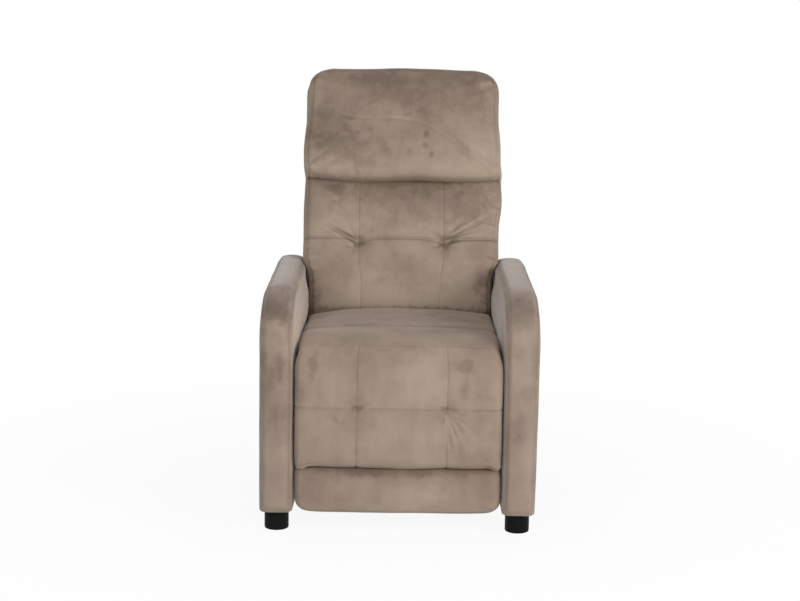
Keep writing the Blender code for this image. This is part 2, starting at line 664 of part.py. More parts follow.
def build_links(back_link, rod):
    """Make the back control links and the rods that drive the footrest."""
    hole = shifted(ROD_FRONT, ROD_HOLE_SHIFT)
    low = ROD_REAR[1] - ROD_DIP
    bends = ((ROD_REAR[0] - ROD_REAR_RUN, low), (ROD_FRONT[0] + ROD_FRONT_RUN, low))
    for word, side in (("left", -1), ("right", 1)):
        outline = hull_of_discs((BACK_LINK_BASE, SLIM_EYE), (BACK_LINK_TOP, SLIM_EYE))
        link = back_link.add(f"back_link_{word}", prism(outline, *sided(LINK_LAYER, side)), "steel")
        drill(back_link, link, BACK_LINK_BASE, side, LINK_LAYER)
        drill(back_link, link, BACK_LINK_TOP, side, LINK_LAYER, PIN_RADIUS + OPEN_PIVOT_PLAY)
        reach = sided(ROD_LAYER, side)
        run = (ROD_REAR, *bends, hole)
        radii = (SLIM_EYE, ROD_HALF_WIDTH, ROD_HALF_WIDTH, ROD_EYE_RADIUS)
        spans = [hull_of_discs(*pair) for pair in zip(zip(run, radii), zip(run[1:], radii[1:]))]
        bar = rod.add(f"footrest_rod_{word}", prism(spans[0], *reach), "steel")
        for span in spans[1:]:
            rod.combine(bar, prism(span, *reach), "UNION")
        drill(rod, bar, ROD_REAR, side, ROD_LAYER)
        drill(rod, bar, hole, side, ROD_LAYER, ROD_HOLE_RADIUS)


def stations(low, high, seams, edges, count):
    """Return sorted grid places from low to high: even steps, finer at round edges and at seams."""
    places = {round(low + (high - low) * step / count, 6) for step in range(count + 1)}
    for share in (0.08, 0.3, 0.6):
        for end, edge, sign in ((low, edges[0], 1), (high, edges[1], -1)):
            if edge:
                places.add(round(end + sign * edge * share, 6))
    for seam in seams:
        for step in (-1.0, -0.5, 0.0, 0.5, 1.0):
            places.add(round(seam + step * SEAM_WIDTH, 6))
    ordered = sorted(places)
    kept = [ordered[0]]
    for place in ordered[1:]:
        near_seam = any(abs(place - seam) < 1e-6 for seam in seams)
        if place - kept[-1] > SEAM_WIDTH / 3 or near_seam:
            kept.append(place)
    kept[-1] = ordered[-1]
    return kept


def rounded(distance, radius):
    """Return how far a surface drops at a distance from an edge of a given radius."""
    if radius <= 0 or distance >= radius:
        return 0.0
    return radius - math.sqrt(max(0.0, radius ** 2 - (radius - distance) ** 2))


def groove(distance, width, depth):
    """Return the depth of a soft sewn groove at a distance from its line."""
    return depth * math.exp(-(distance / width) ** 2)


def sewing(x, height, seam_height, low, high):
    """Return how far the sewn seams and tufts pull a panel in at a place."""
    pull = 0.0
    for seam in (-SEAM_SPREAD, SEAM_SPREAD):
        pull = max(pull, groove(x - seam, SEAM_WIDTH, SEAM_DEPTH))
        reach = math.hypot(x - seam, height - seam_height)
        pull = max(pull, groove(reach, TUFT_WIDTH, TUFT_DEPTH))
    inside = min(1.0, max(0.0, min(height - low, high - height) / SEAM_WIDTH))
    pull = max(pull, groove(height - seam_height, SEAM_WIDTH, SEAM_DEPTH * CROSS_SEAM_SHARE))
    return pull * (SEAM_END_SHARE + (1 - SEAM_END_SHARE) * inside)


def cushion(xs, vs, surface, floor):
    """Return a closed cushion: a gridded face from surface(x, v), side walls, and a flat floor(x, v)."""
    shape = bmesh.new()
    face = [[shape.verts.new(surface(x, v)) for x in xs] for v in vs]
    for row, above in zip(face, face[1:]):
        for step in range(len(xs) - 1):
            shape.faces.new((row[step], row[step + 1], above[step + 1], above[step]))
    last_x, last_v = len(xs) - 1, len(vs) - 1
    rim = [(0, step) for step in range(last_x)] + [(step, last_x) for step in range(last_v)]
    rim += [(last_v, last_x - step) for step in range(last_x)]
    rim += [(last_v - step, 0) for step in range(last_v)]
    base = [shape.verts.new(floor(xs[column], vs[row])) for row, column in rim]
    for step in range(len(rim)):
        after = (step + 1) % len(rim)
        top, next_top = face[rim[step][0]][rim[step][1]], face[rim[after][0]][rim[after][1]]
        shape.faces.new((top, base[step], base[after], next_top))
    shape.faces.new(base)
    return shape


def swell(x, half, v, low, high):
    """Return the crown's share at a place: 1 in the middle, 0 at the edges."""
    across = 1 - (x / half) ** 2
    along = 1 - ((v - (low + high) / 2) / ((high - low) / 2)) ** 2
    return max(0.0, across) * max(0.0, along)


def drawn(x, half, v, low, high, corner=0.0, taper=0.0):
    """Return x with the sides pulled in between the corners, and rounded upper corners."""
    middle = (v - low) / (high - low)
    pull = DRAW_IN * 4 * middle * (1 - middle) + taper * middle
    into = max(0.0, v - (high - corner)) if corner else 0.0
    pull += rounded(corner - into, corner) if corner else 0.0
    return x * (half - pull) / half


def seat_top(share):
    """Return the seat's height at a share of its length: full at the front, lower at the rear."""
    return SEAT_TOP - SEAT_REAR_LOW * share ** SEAT_FALL_POWER


def build_seat_cushion(seat):
    """Make the seat cushion, open-edged in front where the chaise roll carries on."""
    front = FOOT_PIVOT_Y + SEAT_FRONT_SETBACK
    slope = math.tan(BACK_LEAN)
    face_y = BACK_PIVOT_Y - BACK_FACE / math.cos(BACK_LEAN) - SEAT_SIDE_GAP
    rear = face_y + slope * (CUSHION_BOTTOM - HINGE_Z)
    xs = stations(-SEAT_HALF, SEAT_HALF, (), (SEAT_EDGE, SEAT_EDGE), 12)
    vs = stations(front, rear, (), (0, SEAT_EDGE), 10)

    def surface(x, v):
        share = (v - front) / (rear - front)
        edge = min(SEAT_HALF - abs(x), rear - v)
        crown = SOFT_CROWN * (1 - (x / SEAT_HALF) ** 2)
        z = seat_top(share) - SOFT_CROWN + crown - rounded(edge, SEAT_EDGE)
        return (drawn(x, SEAT_HALF, v, front, rear), v + slope * (z - CUSHION_BOTTOM) * share, z)

    def floor(x, v):
        return (drawn(x, SEAT_HALF, v, front, rear), v, CUSHION_BOTTOM)

    seat.add("seat_cushion", cushion(xs, vs, surface, floor), "velvet", smooth=True)


def build_chaise_roll(seat):
    """Make the soft roll that carries the cover from the seat's top over its front edge."""
    rear = FOOT_PIVOT_Y + SEAT_FRONT_SETBACK - FIT
    deep, tall = rear - FRONT_FACE_Y, SEAT_TOP - CUSHION_BOTTOM - FIT
    half = FOOTREST_HALF
    low = CUSHION_BOTTOM + FIT
    xs = stations(-half, half, (-SEAM_SPREAD, SEAM_SPREAD), (SEAT_EDGE, SEAT_EDGE), 10)
    vs = [step / ARC_STEPS for step in range(ARC_STEPS + 1)]

    def surface(x, v):
        turn = math.pi / 2 * v
        edge = rounded(half - abs(x), SEAT_EDGE)
        crown = SOFT_CROWN * (1 - (x / half) ** 2)
        pull = max(groove(x - seam, SEAM_WIDTH, SEAM_DEPTH) for seam in (-SEAM_SPREAD, SEAM_SPREAD))
        reach = SOFT_CROWN - crown + edge + pull * v
        y = rear - (deep - reach) * math.sin(turn) ** CHAISE_POWER
        z = low + (tall - reach) * math.cos(turn) ** CHAISE_POWER
        return (drawn(x, half, v, 0, 1), y, z)

    def floor(x, v):
        turn = math.pi / 2 * v
        reach = CHAISE_FLOOR_SHARE * (deep - SOFT_CROWN - SEAT_EDGE)
        return (drawn(x, half, v, 0, 1), rear - SINK - reach * math.sin(turn), low)

    seat.add("chaise_roll", cushion(xs, vs, surface, floor), "velvet", smooth=True)


def build_footrest_pads(footrest):
    """Make the tufted footrest pad and the plain roll under it."""
    half = FOOTREST_HALF
    floor_y = BOARD_FRONT_Y - FIT
    low, high = FOOTREST_CREASE, CUSHION_BOTTOM
    xs = stations(-half, half, (-SEAM_SPREAD, SEAM_SPREAD), (FOOTREST_EDGE, FOOTREST_EDGE), 10)
    vs = stations(low, high, (FRONT_TUFT_HEIGHT,), (FOOTREST_EDGE, 0), 6)

    def pad(x, v):
        edge = min(half - abs(x), v - low)
        crown = SOFT_CROWN * (1 - (x / half) ** 2)
        depth = FOOTREST_PAD - SOFT_CROWN + crown - rounded(edge, FOOTREST_EDGE)
        depth -= sewing(x, v, FRONT_TUFT_HEIGHT, low, high + SEAM_WIDTH)
        return (drawn(x, half, v, low, high), BOARD_FRONT_Y - depth, v)

    def pad_floor(x, v):
        return (drawn(x, half, v, low, high), floor_y, v)

    footrest.add("footrest_pad", cushion(xs, vs, pad, pad_floor), "velvet", smooth=True)

    top, bottom = FOOTREST_CREASE - FIT, FOOTREST_FLOOR_GAP
    xs = stations(-half, half, (), (FOOTREST_EDGE, FOOTREST_EDGE), 10)
    vs = stations(bottom, top, (), (FOOTREST_EDGE, FOOTREST_EDGE), 6)

    def corner(x, v):
        return drawn(x, half, bottom + top - v, bottom, top, ROLL_CORNER)

    def roll(x, v):
        edge = min(half - abs(x), v - bottom, top - v)
        flat = SOFT_CROWN * (1 - swell(x, half, v, bottom, top))
        depth = FOOTREST_PAD - flat - rounded(edge, FOOTREST_EDGE)
        return (corner(x, v), BOARD_FRONT_Y - depth, v)

    def roll_floor(x, v):
        return (corner(x, v), floor_y, v)

    footrest.add("footrest_roll", cushion(xs, vs, roll, roll_floor), "velvet", smooth=True)


def build_back_cushions(back):
    """Make the tufted lumbar cushion and the plain headrest cushion, in the back's leaning frame."""
    half, low, high = LUMBAR_HALF, LUMBAR_FOOT, HEADREST_FOOT - FIT
    xs = stations(-half, half, (-SEAM_SPREAD, SEAM_SPREAD), (SEAT_EDGE, SEAT_EDGE), 10)
    vs = stations(low, high, (BACK_TUFT_HEIGHT,), (SEAT_EDGE, FOOTREST_EDGE), 10)

    def lumbar(x, v):
        edge = min(half - abs(x), v - low)
        depth = BACK_FACE - SOFT_CROWN * (1 - swell(x, half, v, low, high))
        depth -= max(rounded(edge, SEAT_EDGE), rounded(high - v, FOOTREST_EDGE))
        depth -= sewing(x, v, BACK_TUFT_HEIGHT, low, high)
        return (drawn(x, half, v, low, high), -depth, v)

    def lumbar_floor(x, v):
        return (drawn(x, half, v, low, high), -CUSHION_BACK, v)

    back.add("lumbar_cushion", cushion(xs, vs, lumbar, lumbar_floor), "velvet", True, smooth=True)

    wide, foot, top = HEADREST_HALF, HEADREST_FOOT, HEADREST_TOP
    crest = HEADREST_CORNER
    xs = stations(-wide, wide, (), (SEAT_EDGE, SEAT_EDGE), 12)
    vs = stations(foot, top, (), (FOOTREST_EDGE, crest), 12)

    def outline(x, v):
        return drawn(x, wide, v, foot, top, HEADREST_CORNER, HEADREST_TAPER)

    def headrest(x, v):
        share = (v - foot) / (top - foot)
        depth = HEADREST_FACE - SOFT_CROWN * (1 - swell(x, wide, v, foot, top))
        depth -= rounded(wide - abs(x), SEAT_EDGE) + SOFT_CROWN * share ** 2
        depth -= max(rounded(v - foot, FOOTREST_EDGE), rounded(top - v, crest))
        return (outline(x, v), -depth, v)

    def headrest_floor(x, v):
        return (outline(x, v), -CUSHION_BACK, v)

    back.add("headrest_cushion", cushion(xs, vs, headrest, headrest_floor), "velvet", True, smooth=True)


def main():
    """Build the chair body by body, from the floor up."""
    clear_scene()
    base = Body("base")
    rear_swing = Body("rear_swing", REAR_BASE, base)
    front_swing = Body("front_swing", FRONT_BASE, base)
    back_link = Body("back_link", BACK_LINK_BASE, base)
    seat = Body("seat", REAR_SEAT, rear_swing)
    backrest = Body("backrest", BACK_HINGE, seat, BACK_LEAN)
    footrest = Body("footrest", FOOT_HINGE, seat)
    footrest_rod = Body("footrest_rod", ROD_REAR, backrest)
    build_base(base)
    build_swing(rear_swing, "rear", REAR_BASE, REAR_SEAT)
    build_swing(front_swing, "front", FRONT_BASE, FRONT_SEAT)
    build_seat_frame(seat)
    build_footrest(footrest)
    build_back_frame(backrest)
    build_links(back_link, footrest_rod)
    build_seat_cushion(seat)
    build_chaise_roll(seat)
    build_footrest_pads(footrest)
    build_back_cushions(backrest)


main()
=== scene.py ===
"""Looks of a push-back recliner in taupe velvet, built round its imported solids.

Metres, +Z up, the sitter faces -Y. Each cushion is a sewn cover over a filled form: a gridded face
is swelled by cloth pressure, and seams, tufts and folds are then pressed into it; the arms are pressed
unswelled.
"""

import json
import logging
import math
from collections.abc import Sequence
from dataclasses import dataclass, field
from enum import Enum

import bmesh
import bpy
import numpy as np
from mathutils import Matrix, Vector, noise


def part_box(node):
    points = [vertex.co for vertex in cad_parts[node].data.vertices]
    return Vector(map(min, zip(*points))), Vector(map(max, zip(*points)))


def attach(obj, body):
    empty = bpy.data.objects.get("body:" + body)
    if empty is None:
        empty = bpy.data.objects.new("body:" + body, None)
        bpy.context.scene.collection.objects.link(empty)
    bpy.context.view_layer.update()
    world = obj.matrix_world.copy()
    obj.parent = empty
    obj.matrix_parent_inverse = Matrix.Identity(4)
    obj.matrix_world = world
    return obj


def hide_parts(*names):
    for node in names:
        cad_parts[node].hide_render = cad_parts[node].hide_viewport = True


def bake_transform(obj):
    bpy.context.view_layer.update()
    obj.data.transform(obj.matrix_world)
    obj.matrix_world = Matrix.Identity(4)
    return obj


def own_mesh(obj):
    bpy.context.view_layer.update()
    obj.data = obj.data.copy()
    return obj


LOG = logging.getLogger("recliner")

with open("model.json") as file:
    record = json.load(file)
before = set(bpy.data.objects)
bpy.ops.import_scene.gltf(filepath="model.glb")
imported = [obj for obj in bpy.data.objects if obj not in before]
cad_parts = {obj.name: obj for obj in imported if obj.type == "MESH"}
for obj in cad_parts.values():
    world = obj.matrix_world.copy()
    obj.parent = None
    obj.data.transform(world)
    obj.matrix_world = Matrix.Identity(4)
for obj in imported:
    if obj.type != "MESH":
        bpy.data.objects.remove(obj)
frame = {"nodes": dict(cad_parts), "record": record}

Values = np.ndarray
Piece = bpy.types.Object
Mesh = bpy.types.Mesh
Tree = bpy.types.NodeTree
Node = bpy.types.Node
Outlet = bpy.types.NodeSocket
Outlets = bpy.types.NodeOutputs
Pair = tuple[float, float]
Place = tuple[float, float, float]
Colour = tuple[float, float, float]


class Side(Enum):
    """The side of the chair, as seen from the front."""

    LEFT = -1
    RIGHT = 1

    @property
    def word(self) -> str:
        """Return the side's word in the piece names."""
        return self.name.lower()


class Slot(Enum):
    """The record's material slots."""

    VELVET = "velvet"
    PLYWOOD = "plywood"
    STEEL = "steel"
    SPRING_STEEL = "spring_steel"
    BLACK_PLASTIC = "black_plastic"
    LINING = "lining"
    WEBBING = "webbing"


class Layer(Enum):
    """Names of the point layers that a cover carries."""

    REST = "rest_place"
    SEWN = "sewn_place"
    NAP = "nap_and_shade_tone"


def smoothstep(low: float, high: float, value: Values) -> Values:
    """Return a soft step at each place, from 0 at low to 1 at high."""
    share = np.clip((value - low) / (high - low), 0.0, 1.0)
    return share * share * (3 - 2 * share)


def bell(distance: Values, width: float) -> Values:
    """Return a soft bump of height 1 that falls off over a width."""
    return np.exp(-(distance / width) ** 2)


def rounded(distance: Values, radius: float) -> Values:
    """Return how far a surface drops near a rounded edge: the radius at it, and 0 a radius in from it."""
    into = np.clip(radius - distance, 0.0, radius)
    return radius - np.sqrt(np.maximum(radius ** 2 - into ** 2, 0.0))


def pillow(value: Values, low: float, high: float, power: float = 2.4) -> Values:
    """Return the swell of a panel sewn down at two lines; a higher power makes its middle flatter."""
    share = np.abs(2 * (value - low) / (high - low) - 1)
    return np.clip(1 - share ** power, 0.0, 1.0)


def quilted(value: Values, lines: Sequence[float]) -> Values:
    """Return the swell of the panels between sewn lines: 1 in the middle of each, 0 at each line."""
    return np.maximum.reduce([pillow(value, low, high) for low, high in zip(lines, lines[1:])])


def stations(low: float, high: float, step: float, lines: Sequence[float] = ()) -> Values:
    """Return grid places from low to high, with each sewn line on a place of its own.

    Args:
        low: First place.
        high: Last place.
        step: Usual spacing.
        lines: Sewn lines, which get close neighbours.

    Returns:
        The sorted places.
    """
    close = step * 0.5
    fixed = sorted([low, high, *(line + shift for line in lines for shift in (-close, 0.0, close))])
    places = [fixed[0]]
    for start, end in zip(fixed, fixed[1:]):
        count = max(1, round((end - start) / step))
        places += [start + (end - start) * (number + 1) / count for number in range(count)]
    return np.array(places)


def ripple(places: Values, scale: float, seed: float) -> Values:
    """Return smooth unevenness at each place, from about -1 to 1; each seed gives its own pattern."""
    shift = Vector((seed, 0.37 * seed, 0.71 * seed))
    return np.array([noise.noise(Vector(place) * scale + shift) for place in places])


@dataclass(frozen=True)
class Swell:
    """A soft local fullness: its height, where its middle lies and how far it reaches."""

    height: float
    middle: float
    reach: float

    def at(self, value: Values) -> Values:
        """Return the fullness at each place."""
        return self.height * bell(value - self.middle, self.reach)


@dataclass(frozen=True)
class Slope:
    """A soft change from nothing to its full height, between a start and an end."""

    height: float
    start: float
    end: float

    def at(self, value: Values, origin: float = 0.0) -> Values:
        """Return the height reached at each place, with start and end counted from an origin."""
        return self.height * smoothstep(origin + self.start, origin + self.end, value)

    def before(self, value: Values, origin: float = 0.0) -> Values:
        """Return the height still to come at each place, with start and end counted from an origin."""
        return self.height * (1 - smoothstep(origin + self.start, origin + self.end, value))


@dataclass(frozen=True)
class Wave:
    """An even wave along an edge."""

    height: float
    waves: float
    phase: float

    def at(self, value: Values) -> Values:
        """Return the wave at each place."""
        return self.height * np.sin(value * self.waves + self.phase)


@dataclass(frozen=True)
class Rounding:
    """A rounded-off edge: its radius, and how strongly the cover follows it."""

    radius: float
    strength: float = 1.0

    def drop(self, distance: Values) -> Values:
        """Return how far the cover drops, by the distance in from the edge."""
        return self.strength * rounded(distance, self.radius)


@dataclass(frozen=True)
class Groove:
    """A narrow groove along a sewn line."""

    depth: float
    width: float = 0.0022

    def push(self, distance: Values) -> Values:
        """Return the outward push, by the distance from the sewn line."""
        return -self.depth * bell(distance, self.width)


@dataclass(frozen=True)
class Pit:
    """A tuft: a pit that narrows to its point."""

    depth: float
    width: float
    point_share: float = 0.55
    point_reach: float = 0.35
    bowl_share: float = 0.45
    bowl_reach: float = 1.6

    def push(self, across: Values, along: Values, centre: Pair) -> Values:
        """Return the outward push of the pit.

        Args:
            across, along: Places on the cover.
            centre: The tuft's place.

        Returns:
            The push at each place.
        """
        reach = np.hypot(across - centre[0], along - centre[1])
        point = self.point_share * np.exp(-reach / (self.point_reach * self.width))
        return -self.depth * (point + self.bowl_share * bell(reach, self.bowl_reach * self.width))


HOLD_WIDTH = 0.003
ON_LINE = 2e-4
RIGHT_SIDE = Slope(1.0, 0.5, 1.0)
FOLD_START = Slope(1.0, 0.03, 0.24)
FOLD_FADE = 1.1
RIDGE_HEIGHT, RIDGE_ASIDE, RIDGE_WIDTH = 0.8, 1.8, 1.3
MARK_FRAY, MARK_EDGE = 0.75, 1.7
FRAY_WAVES, FINE_FRAY_WAVES, FINE_FRAY_SHARE = 42.0, 120.0, 0.6
FRAY_LAYERS = (0.0, 31.0)


@dataclass(frozen=True)
class Wrinkle:
    """A fold in the cover: a valley with a low ridge along it, fading from start to end."""

    start: Pair
    end: Pair
    depth: float
    width: float = 0.005
    bow: float = 0.0

    def push(self, across: Values, along: Values) -> Values:
        """Return how far the fold moves the cover outward.

        Args:
            across, along: Places on the cover.

        Returns:
            The move along the normal, negative in the valley.
        """
        run = (self.end[0] - self.start[0], self.end[1] - self.start[1])
        length = math.hypot(*run)
        from_start = (across - self.start[0], along - self.start[1])
        share = (from_start[0] * run[0] + from_start[1] * run[1]) / length ** 2
        aside = (from_start[1] * run[0] - from_start[0] * run[1]) / length
        aside = aside - self.bow * 4 * share * (1 - share)
        fade = FOLD_START.at(share) * np.clip(1 - share, 0.0, 1.0) ** FOLD_FADE
        ridge = RIDGE_HEIGHT * bell(aside - RIDGE_ASIDE * self.width, RIDGE_WIDTH * self.width)
        return self.depth * fade * (ridge - bell(aside, self.width))


@dataclass(frozen=True)
class NapAndShadeMark:
    """A soft patch of tone, darker below 0 and lighter above: a patch where the pile lies another way, and in
    some tables painted shade.
    """

    centre: Pair
    size: Pair
    shade: float
    turn: float = 0.0

    def tone(self, across: Values, along: Values,
             ragged: Sequence[Values]) -> Values:
        """Return the mark's shade at each place of the cover.

        Args:
            across, along: Places on the cover.
            ragged: Two layers of unevenness that fray the mark's edge.

        Returns:
            The shade at each place.
        """
        cos, sin = math.cos(math.radians(self.turn)), math.sin(math.radians(self.turn))
        fray = MARK_FRAY * min(self.size)
        step_x = across - self.centre[0] + fray * ragged[0]
        step_y = along - self.centre[1] + fray * ragged[1]
        reach = ((step_x * cos + step_y * sin) / self.size[0]) ** 2
        reach = reach + ((step_y * cos - step_x * sin) / self.size[1]) ** 2
        return self.shade * np.exp(-reach ** MARK_EDGE)


def nap_and_shade_marks(*rows: Sequence[float]) -> tuple[NapAndShadeMark, ...]:
    """Return marks from rows of place across, place along, width, length, shade and any turn."""
    return tuple(NapAndShadeMark((across, along), (wide, long), shade, *turn)
                 for across, along, wide, long, shade, *turn in rows)


def brushed(marks: Sequence[NapAndShadeMark], across: Values, along: Values, seed: float) -> Values:
    """Return the summed tone of a set of marks: pile patches, and painted shade where a table lists it.

    Args:
        marks: The marks.
        across, along: Places on the cover.
        seed: Offset that gives each piece its own frayed edges.

    Returns:
        The summed shade at each place.
    """
    flat = np.stack([across, along, np.zeros(across.shape)], axis=1)
    ragged = [ripple(flat, FRAY_WAVES, seed + layer)
              + FINE_FRAY_SHARE * ripple(flat, FINE_FRAY_WAVES, seed + layer) for layer in FRAY_LAYERS]
    return sum((mark.tone(across, along, ragged) for mark in marks), np.zeros(across.shape))


class Graph:
    """Adds and links the nodes of one node tree."""

    def __init__(self, tree: Tree) -> None:
        """Keep the tree that is built."""
        self.tree = tree

    def add(self, kind: str, inputs: dict | None = None, **settings: object) -> Node:
        """Add a node.

        Args:
            kind: Node type.
            inputs: Values or sockets by input name or number.
            **settings: The node's own settings.

        Returns:
            The new node.
        """
        node = self.tree.nodes.new(kind)
        for name, value in settings.items():
            setattr(node, name, value)
        self.feed(node, inputs or {})
        return node

    def feed(self, node: Node, inputs: dict) -> None:
        """Link sockets to a node's inputs, or set values on them.

        Args:
            node: The node.
            inputs: Values or sockets by input name or number.
        """
        for name, value in inputs.items():
            if isinstance(value, Outlet):
                self.tree.links.new(value, node.inputs[name])
            else:
                node.inputs[name].default_value = value

    def maths(self, operation: str, first: object, second: object = 0.0) -> Outlet:
        """Add a Math node and return its result."""
        return self.add("ShaderNodeMath", {0: first, 1: second}, operation=operation).outputs[0]

    def mix(self, factor: object, first: object, second: object) -> Outlet:
        """Add a colour Mix node and return its result."""
        node = self.add("ShaderNodeMix", {0: factor, 6: first, 7: second}, data_type="RGBA")
        return node.outputs[2]

    def ramp(self, value: Outlet, low: float, high: float) -> Outlet:
        """Add a Map Range node that stretches low to high over 0 to 1, and return its result."""
        node = self.add("ShaderNodeMapRange", {"Value": value, "From Min": low, "From Max": high})
        return node.outputs["Result"]

    def noise(self, place: object, scale: object, detail: float, rough: float = 0.5) -> Outlet:
        """Add a Noise texture of so many waves per metre, with finer layers, and return its value."""
        inputs = {"Vector": place, "Scale": scale, "Detail": detail, "Roughness": rough}
        return self.add("ShaderNodeTexNoise", inputs).outputs[0]

    def bump(self, height: Outlet, strength: float, distance: float) -> Outlet:
        """Add a Bump node and return its normal."""
        inputs = {"Height": height, "Strength": strength, "Distance": distance}
        return self.add("ShaderNodeBump", inputs).outputs["Normal"]


@dataclass(frozen=True)
class Socket:
    """A named socket of a node group."""

    name: str
    kind: str
    default: float | None = None


class Effect:
    """A shader node group with named sockets, built on first use."""

    name = "effect"
    takes: tuple[Socket, ...] = ()
    gives: tuple[Socket, ...] = ()

    def tree(self) -> Tree:
        """Return the group's node tree, built once.

        Returns:
            The tree that each material places.
        """
        found = bpy.data.node_groups.get(self.name)
        if found:
            return found
        made = bpy.data.node_groups.new(self.name, "ShaderNodeTree")
        for sockets, way in ((self.takes, "INPUT"), (self.gives, "OUTPUT")):
            for socket in sockets:
                item = made.interface.new_socket(socket.name, in_out=way, socket_type=socket.kind)
                if socket.default is not None:
                    item.default_value = socket.default
        graph = Graph(made)
        source = graph.add("NodeGroupInput").outputs
        graph.add("NodeGroupOutput", self.wire(graph, source))
        return made

    def wire(self, graph: Graph, source: Outlets) -> dict:
        """Build the group's inner nodes; each effect has its own."""
        raise NotImplementedError

    def place(self, graph: Graph, inputs: dict) -> Outlets:
        """Place the group in a material, with its own values, and return the group's outputs."""
        return graph.add("ShaderNodeGroup", inputs, node_tree=self.tree()).outputs


class PileNap(Effect):
    """Velvet pile: soft light and dark patches, stroke-like streaks and a fine nap, added to each point's
    stored tone, which holds painted shade.
    """

    name = "pile_nap"
    streak_squeeze = (1.0, 1.0, 0.22)
    streak_scale, blot_scale = 4.2, 5.5
    patch_share, streak_share, blot_share, speckle_share = 0.8, 0.24, 0.14, 0.16
    mean_patch, base_tone = 0.3, 0.62
    dull, shine = 0.92, 0.16
    patch_height = 0.6
    takes = (Socket("Place", "NodeSocketVector"), Socket("Mark", "NodeSocketFloat", 0.0),
             Socket("Patch Scale", "NodeSocketFloat", 9.0), Socket("Patch Strength", "NodeSocketFloat", 0.5),
             Socket("Nap Scale", "NodeSocketFloat", 900.0))
    gives = (Socket("Shade", "NodeSocketFloat"), Socket("Roughness", "NodeSocketFloat"),
             Socket("Height", "NodeSocketFloat"))

    def wire(self, graph: Graph, source: Outlets) -> dict:
        """Build the nap's nodes.

        Args:
            graph: The group's graph.
            source: The group's inputs.

        Returns:
            The sockets that feed the group's outputs.
        """
        place, scale = source["Place"], source["Patch Scale"]
        patches = graph.ramp(graph.noise(place, scale, 6.0, 0.6), 0.34, 0.66)
        squeezed = {"Vector": place, "Scale": self.streak_squeeze}
        streaked = graph.add("ShaderNodeMapping", squeezed).outputs[0]
        streak_scale = graph.maths("MULTIPLY", scale, self.streak_scale)
        streaks = graph.ramp(graph.noise(streaked, streak_scale, 5.0, 0.68), 0.42, 0.72)
        blot_scale = graph.maths("MULTIPLY", scale, self.blot_scale)
        blots = graph.ramp(graph.noise(place, blot_scale, 2.0, 0.5), 0.60, 0.74)
        fine = graph.noise(place, source["Nap Scale"], 2.0, 0.6)
        tone = graph.maths("MULTIPLY", patches, self.patch_share)
        tone = graph.maths("SUBTRACT", tone, graph.maths("MULTIPLY", blots, self.blot_share))
        tone = graph.maths("SUBTRACT", tone, graph.maths("MULTIPLY", streaks, self.streak_share))
        tone = graph.maths("SUBTRACT", tone, self.mean_patch)
        tone = graph.maths("MULTIPLY", tone, source["Patch Strength"])
        tone = graph.maths("ADD", graph.maths("ADD", tone, source["Mark"]), self.base_tone)
        speckle = graph.maths("MULTIPLY", graph.maths("SUBTRACT", fine, 0.5), self.speckle_share)
        shade = graph.add("ShaderNodeClamp", {"Value": graph.maths("ADD", tone, speckle)}).outputs[0]
        rough = graph.maths("SUBTRACT", self.dull, graph.maths("MULTIPLY", shade, self.shine))
        height = graph.maths("ADD", fine, graph.maths("MULTIPLY", patches, self.patch_height))
        return {"Shade": shade, "Roughness": rough, "Height": height}


class Weave(Effect):
    """Plain weave of crossing threads."""

    name = "plain_weave"
    takes = (Socket("Place", "NodeSocketVector"), Socket("Threads", "NodeSocketFloat", 500.0))
    gives = (Socket("Shade", "NodeSocketFloat"), Socket("Height", "NodeSocketFloat"))

    def wire(self, graph: Graph, source: Outlets) -> dict:
        """Build the weave's nodes.

        Args:
            graph: The group's graph.
            source: The group's inputs.

        Returns:
            The sockets that feed the group's outputs.
        """
        waves = []
        for direction in ("X", "Z"):
            inputs = {"Vector": source["Place"], "Scale": source["Threads"], "Distortion": 0.4, "Detail": 1.0}
            wave = graph.add("ShaderNodeTexWave", inputs, wave_type="BANDS", bands_direction=direction)
            waves.append(wave.outputs["Fac"])
        height = graph.maths("MAXIMUM", waves[0], waves[1])
        shade = graph.maths("MULTIPLY", height, graph.noise(source["Place"], 40.0, 3.0))
        return {"Shade": shade, "Height": height}


class Scuff(Effect):
    """Use marks on hard parts: dull blotches, fine scratches and settled dust."""

    name = "scuff_and_dust"
    takes = (Socket("Place", "NodeSocketVector"), Socket("Scale", "NodeSocketFloat", 30.0),
             Socket("Roughness", "NodeSocketFloat", 0.4), Socket("Spread", "NodeSocketFloat", 0.15))
    gives = (Socket("Dust", "NodeSocketFloat"), Socket("Roughness", "NodeSocketFloat"),
             Socket("Height", "NodeSocketFloat"))

    def wire(self, graph: Graph, source: Outlets) -> dict:
        """Build the scuffs' nodes.

        Args:
            graph: The group's graph.
            source: The group's inputs.

        Returns:
            The sockets that feed the group's outputs.
        """
        blotch = graph.noise(source["Place"], source["Scale"], 5.0, 0.6)
        dust = graph.maths("MULTIPLY", graph.ramp(blotch, 0.5, 0.85), 0.35)
        fine = graph.noise(source["Place"], graph.maths("MULTIPLY", source["Scale"], 30.0), 2.0)
        change = graph.maths("MULTIPLY", graph.maths("SUBTRACT", blotch, 0.5), source["Spread"])
        rough = graph.maths("ADD", source["Roughness"], graph.maths("MULTIPLY", change, 2.0))
        return {"Dust": dust, "Roughness": rough, "Height": fine}


@dataclass(frozen=True)
class Finish:
    """A finish of one material slot, made into a node material."""

    name: str

    def material(self) -> bpy.types.Material:
        """Return the finish's material, made on first use.

        Returns:
            The node material.
        """
        found = bpy.data.materials.get(self.name)
        if found:
            return found
        made = bpy.data.materials.new(self.name)
        made.use_nodes = True
        graph = Graph(made.node_tree)
        self.dress(graph, made.node_tree.nodes["Principled BSDF"])
        return made

    def dress(self, graph: Graph, shader: Node) -> None:
        """Wire the finish; each kind has its own."""
        raise NotImplementedError


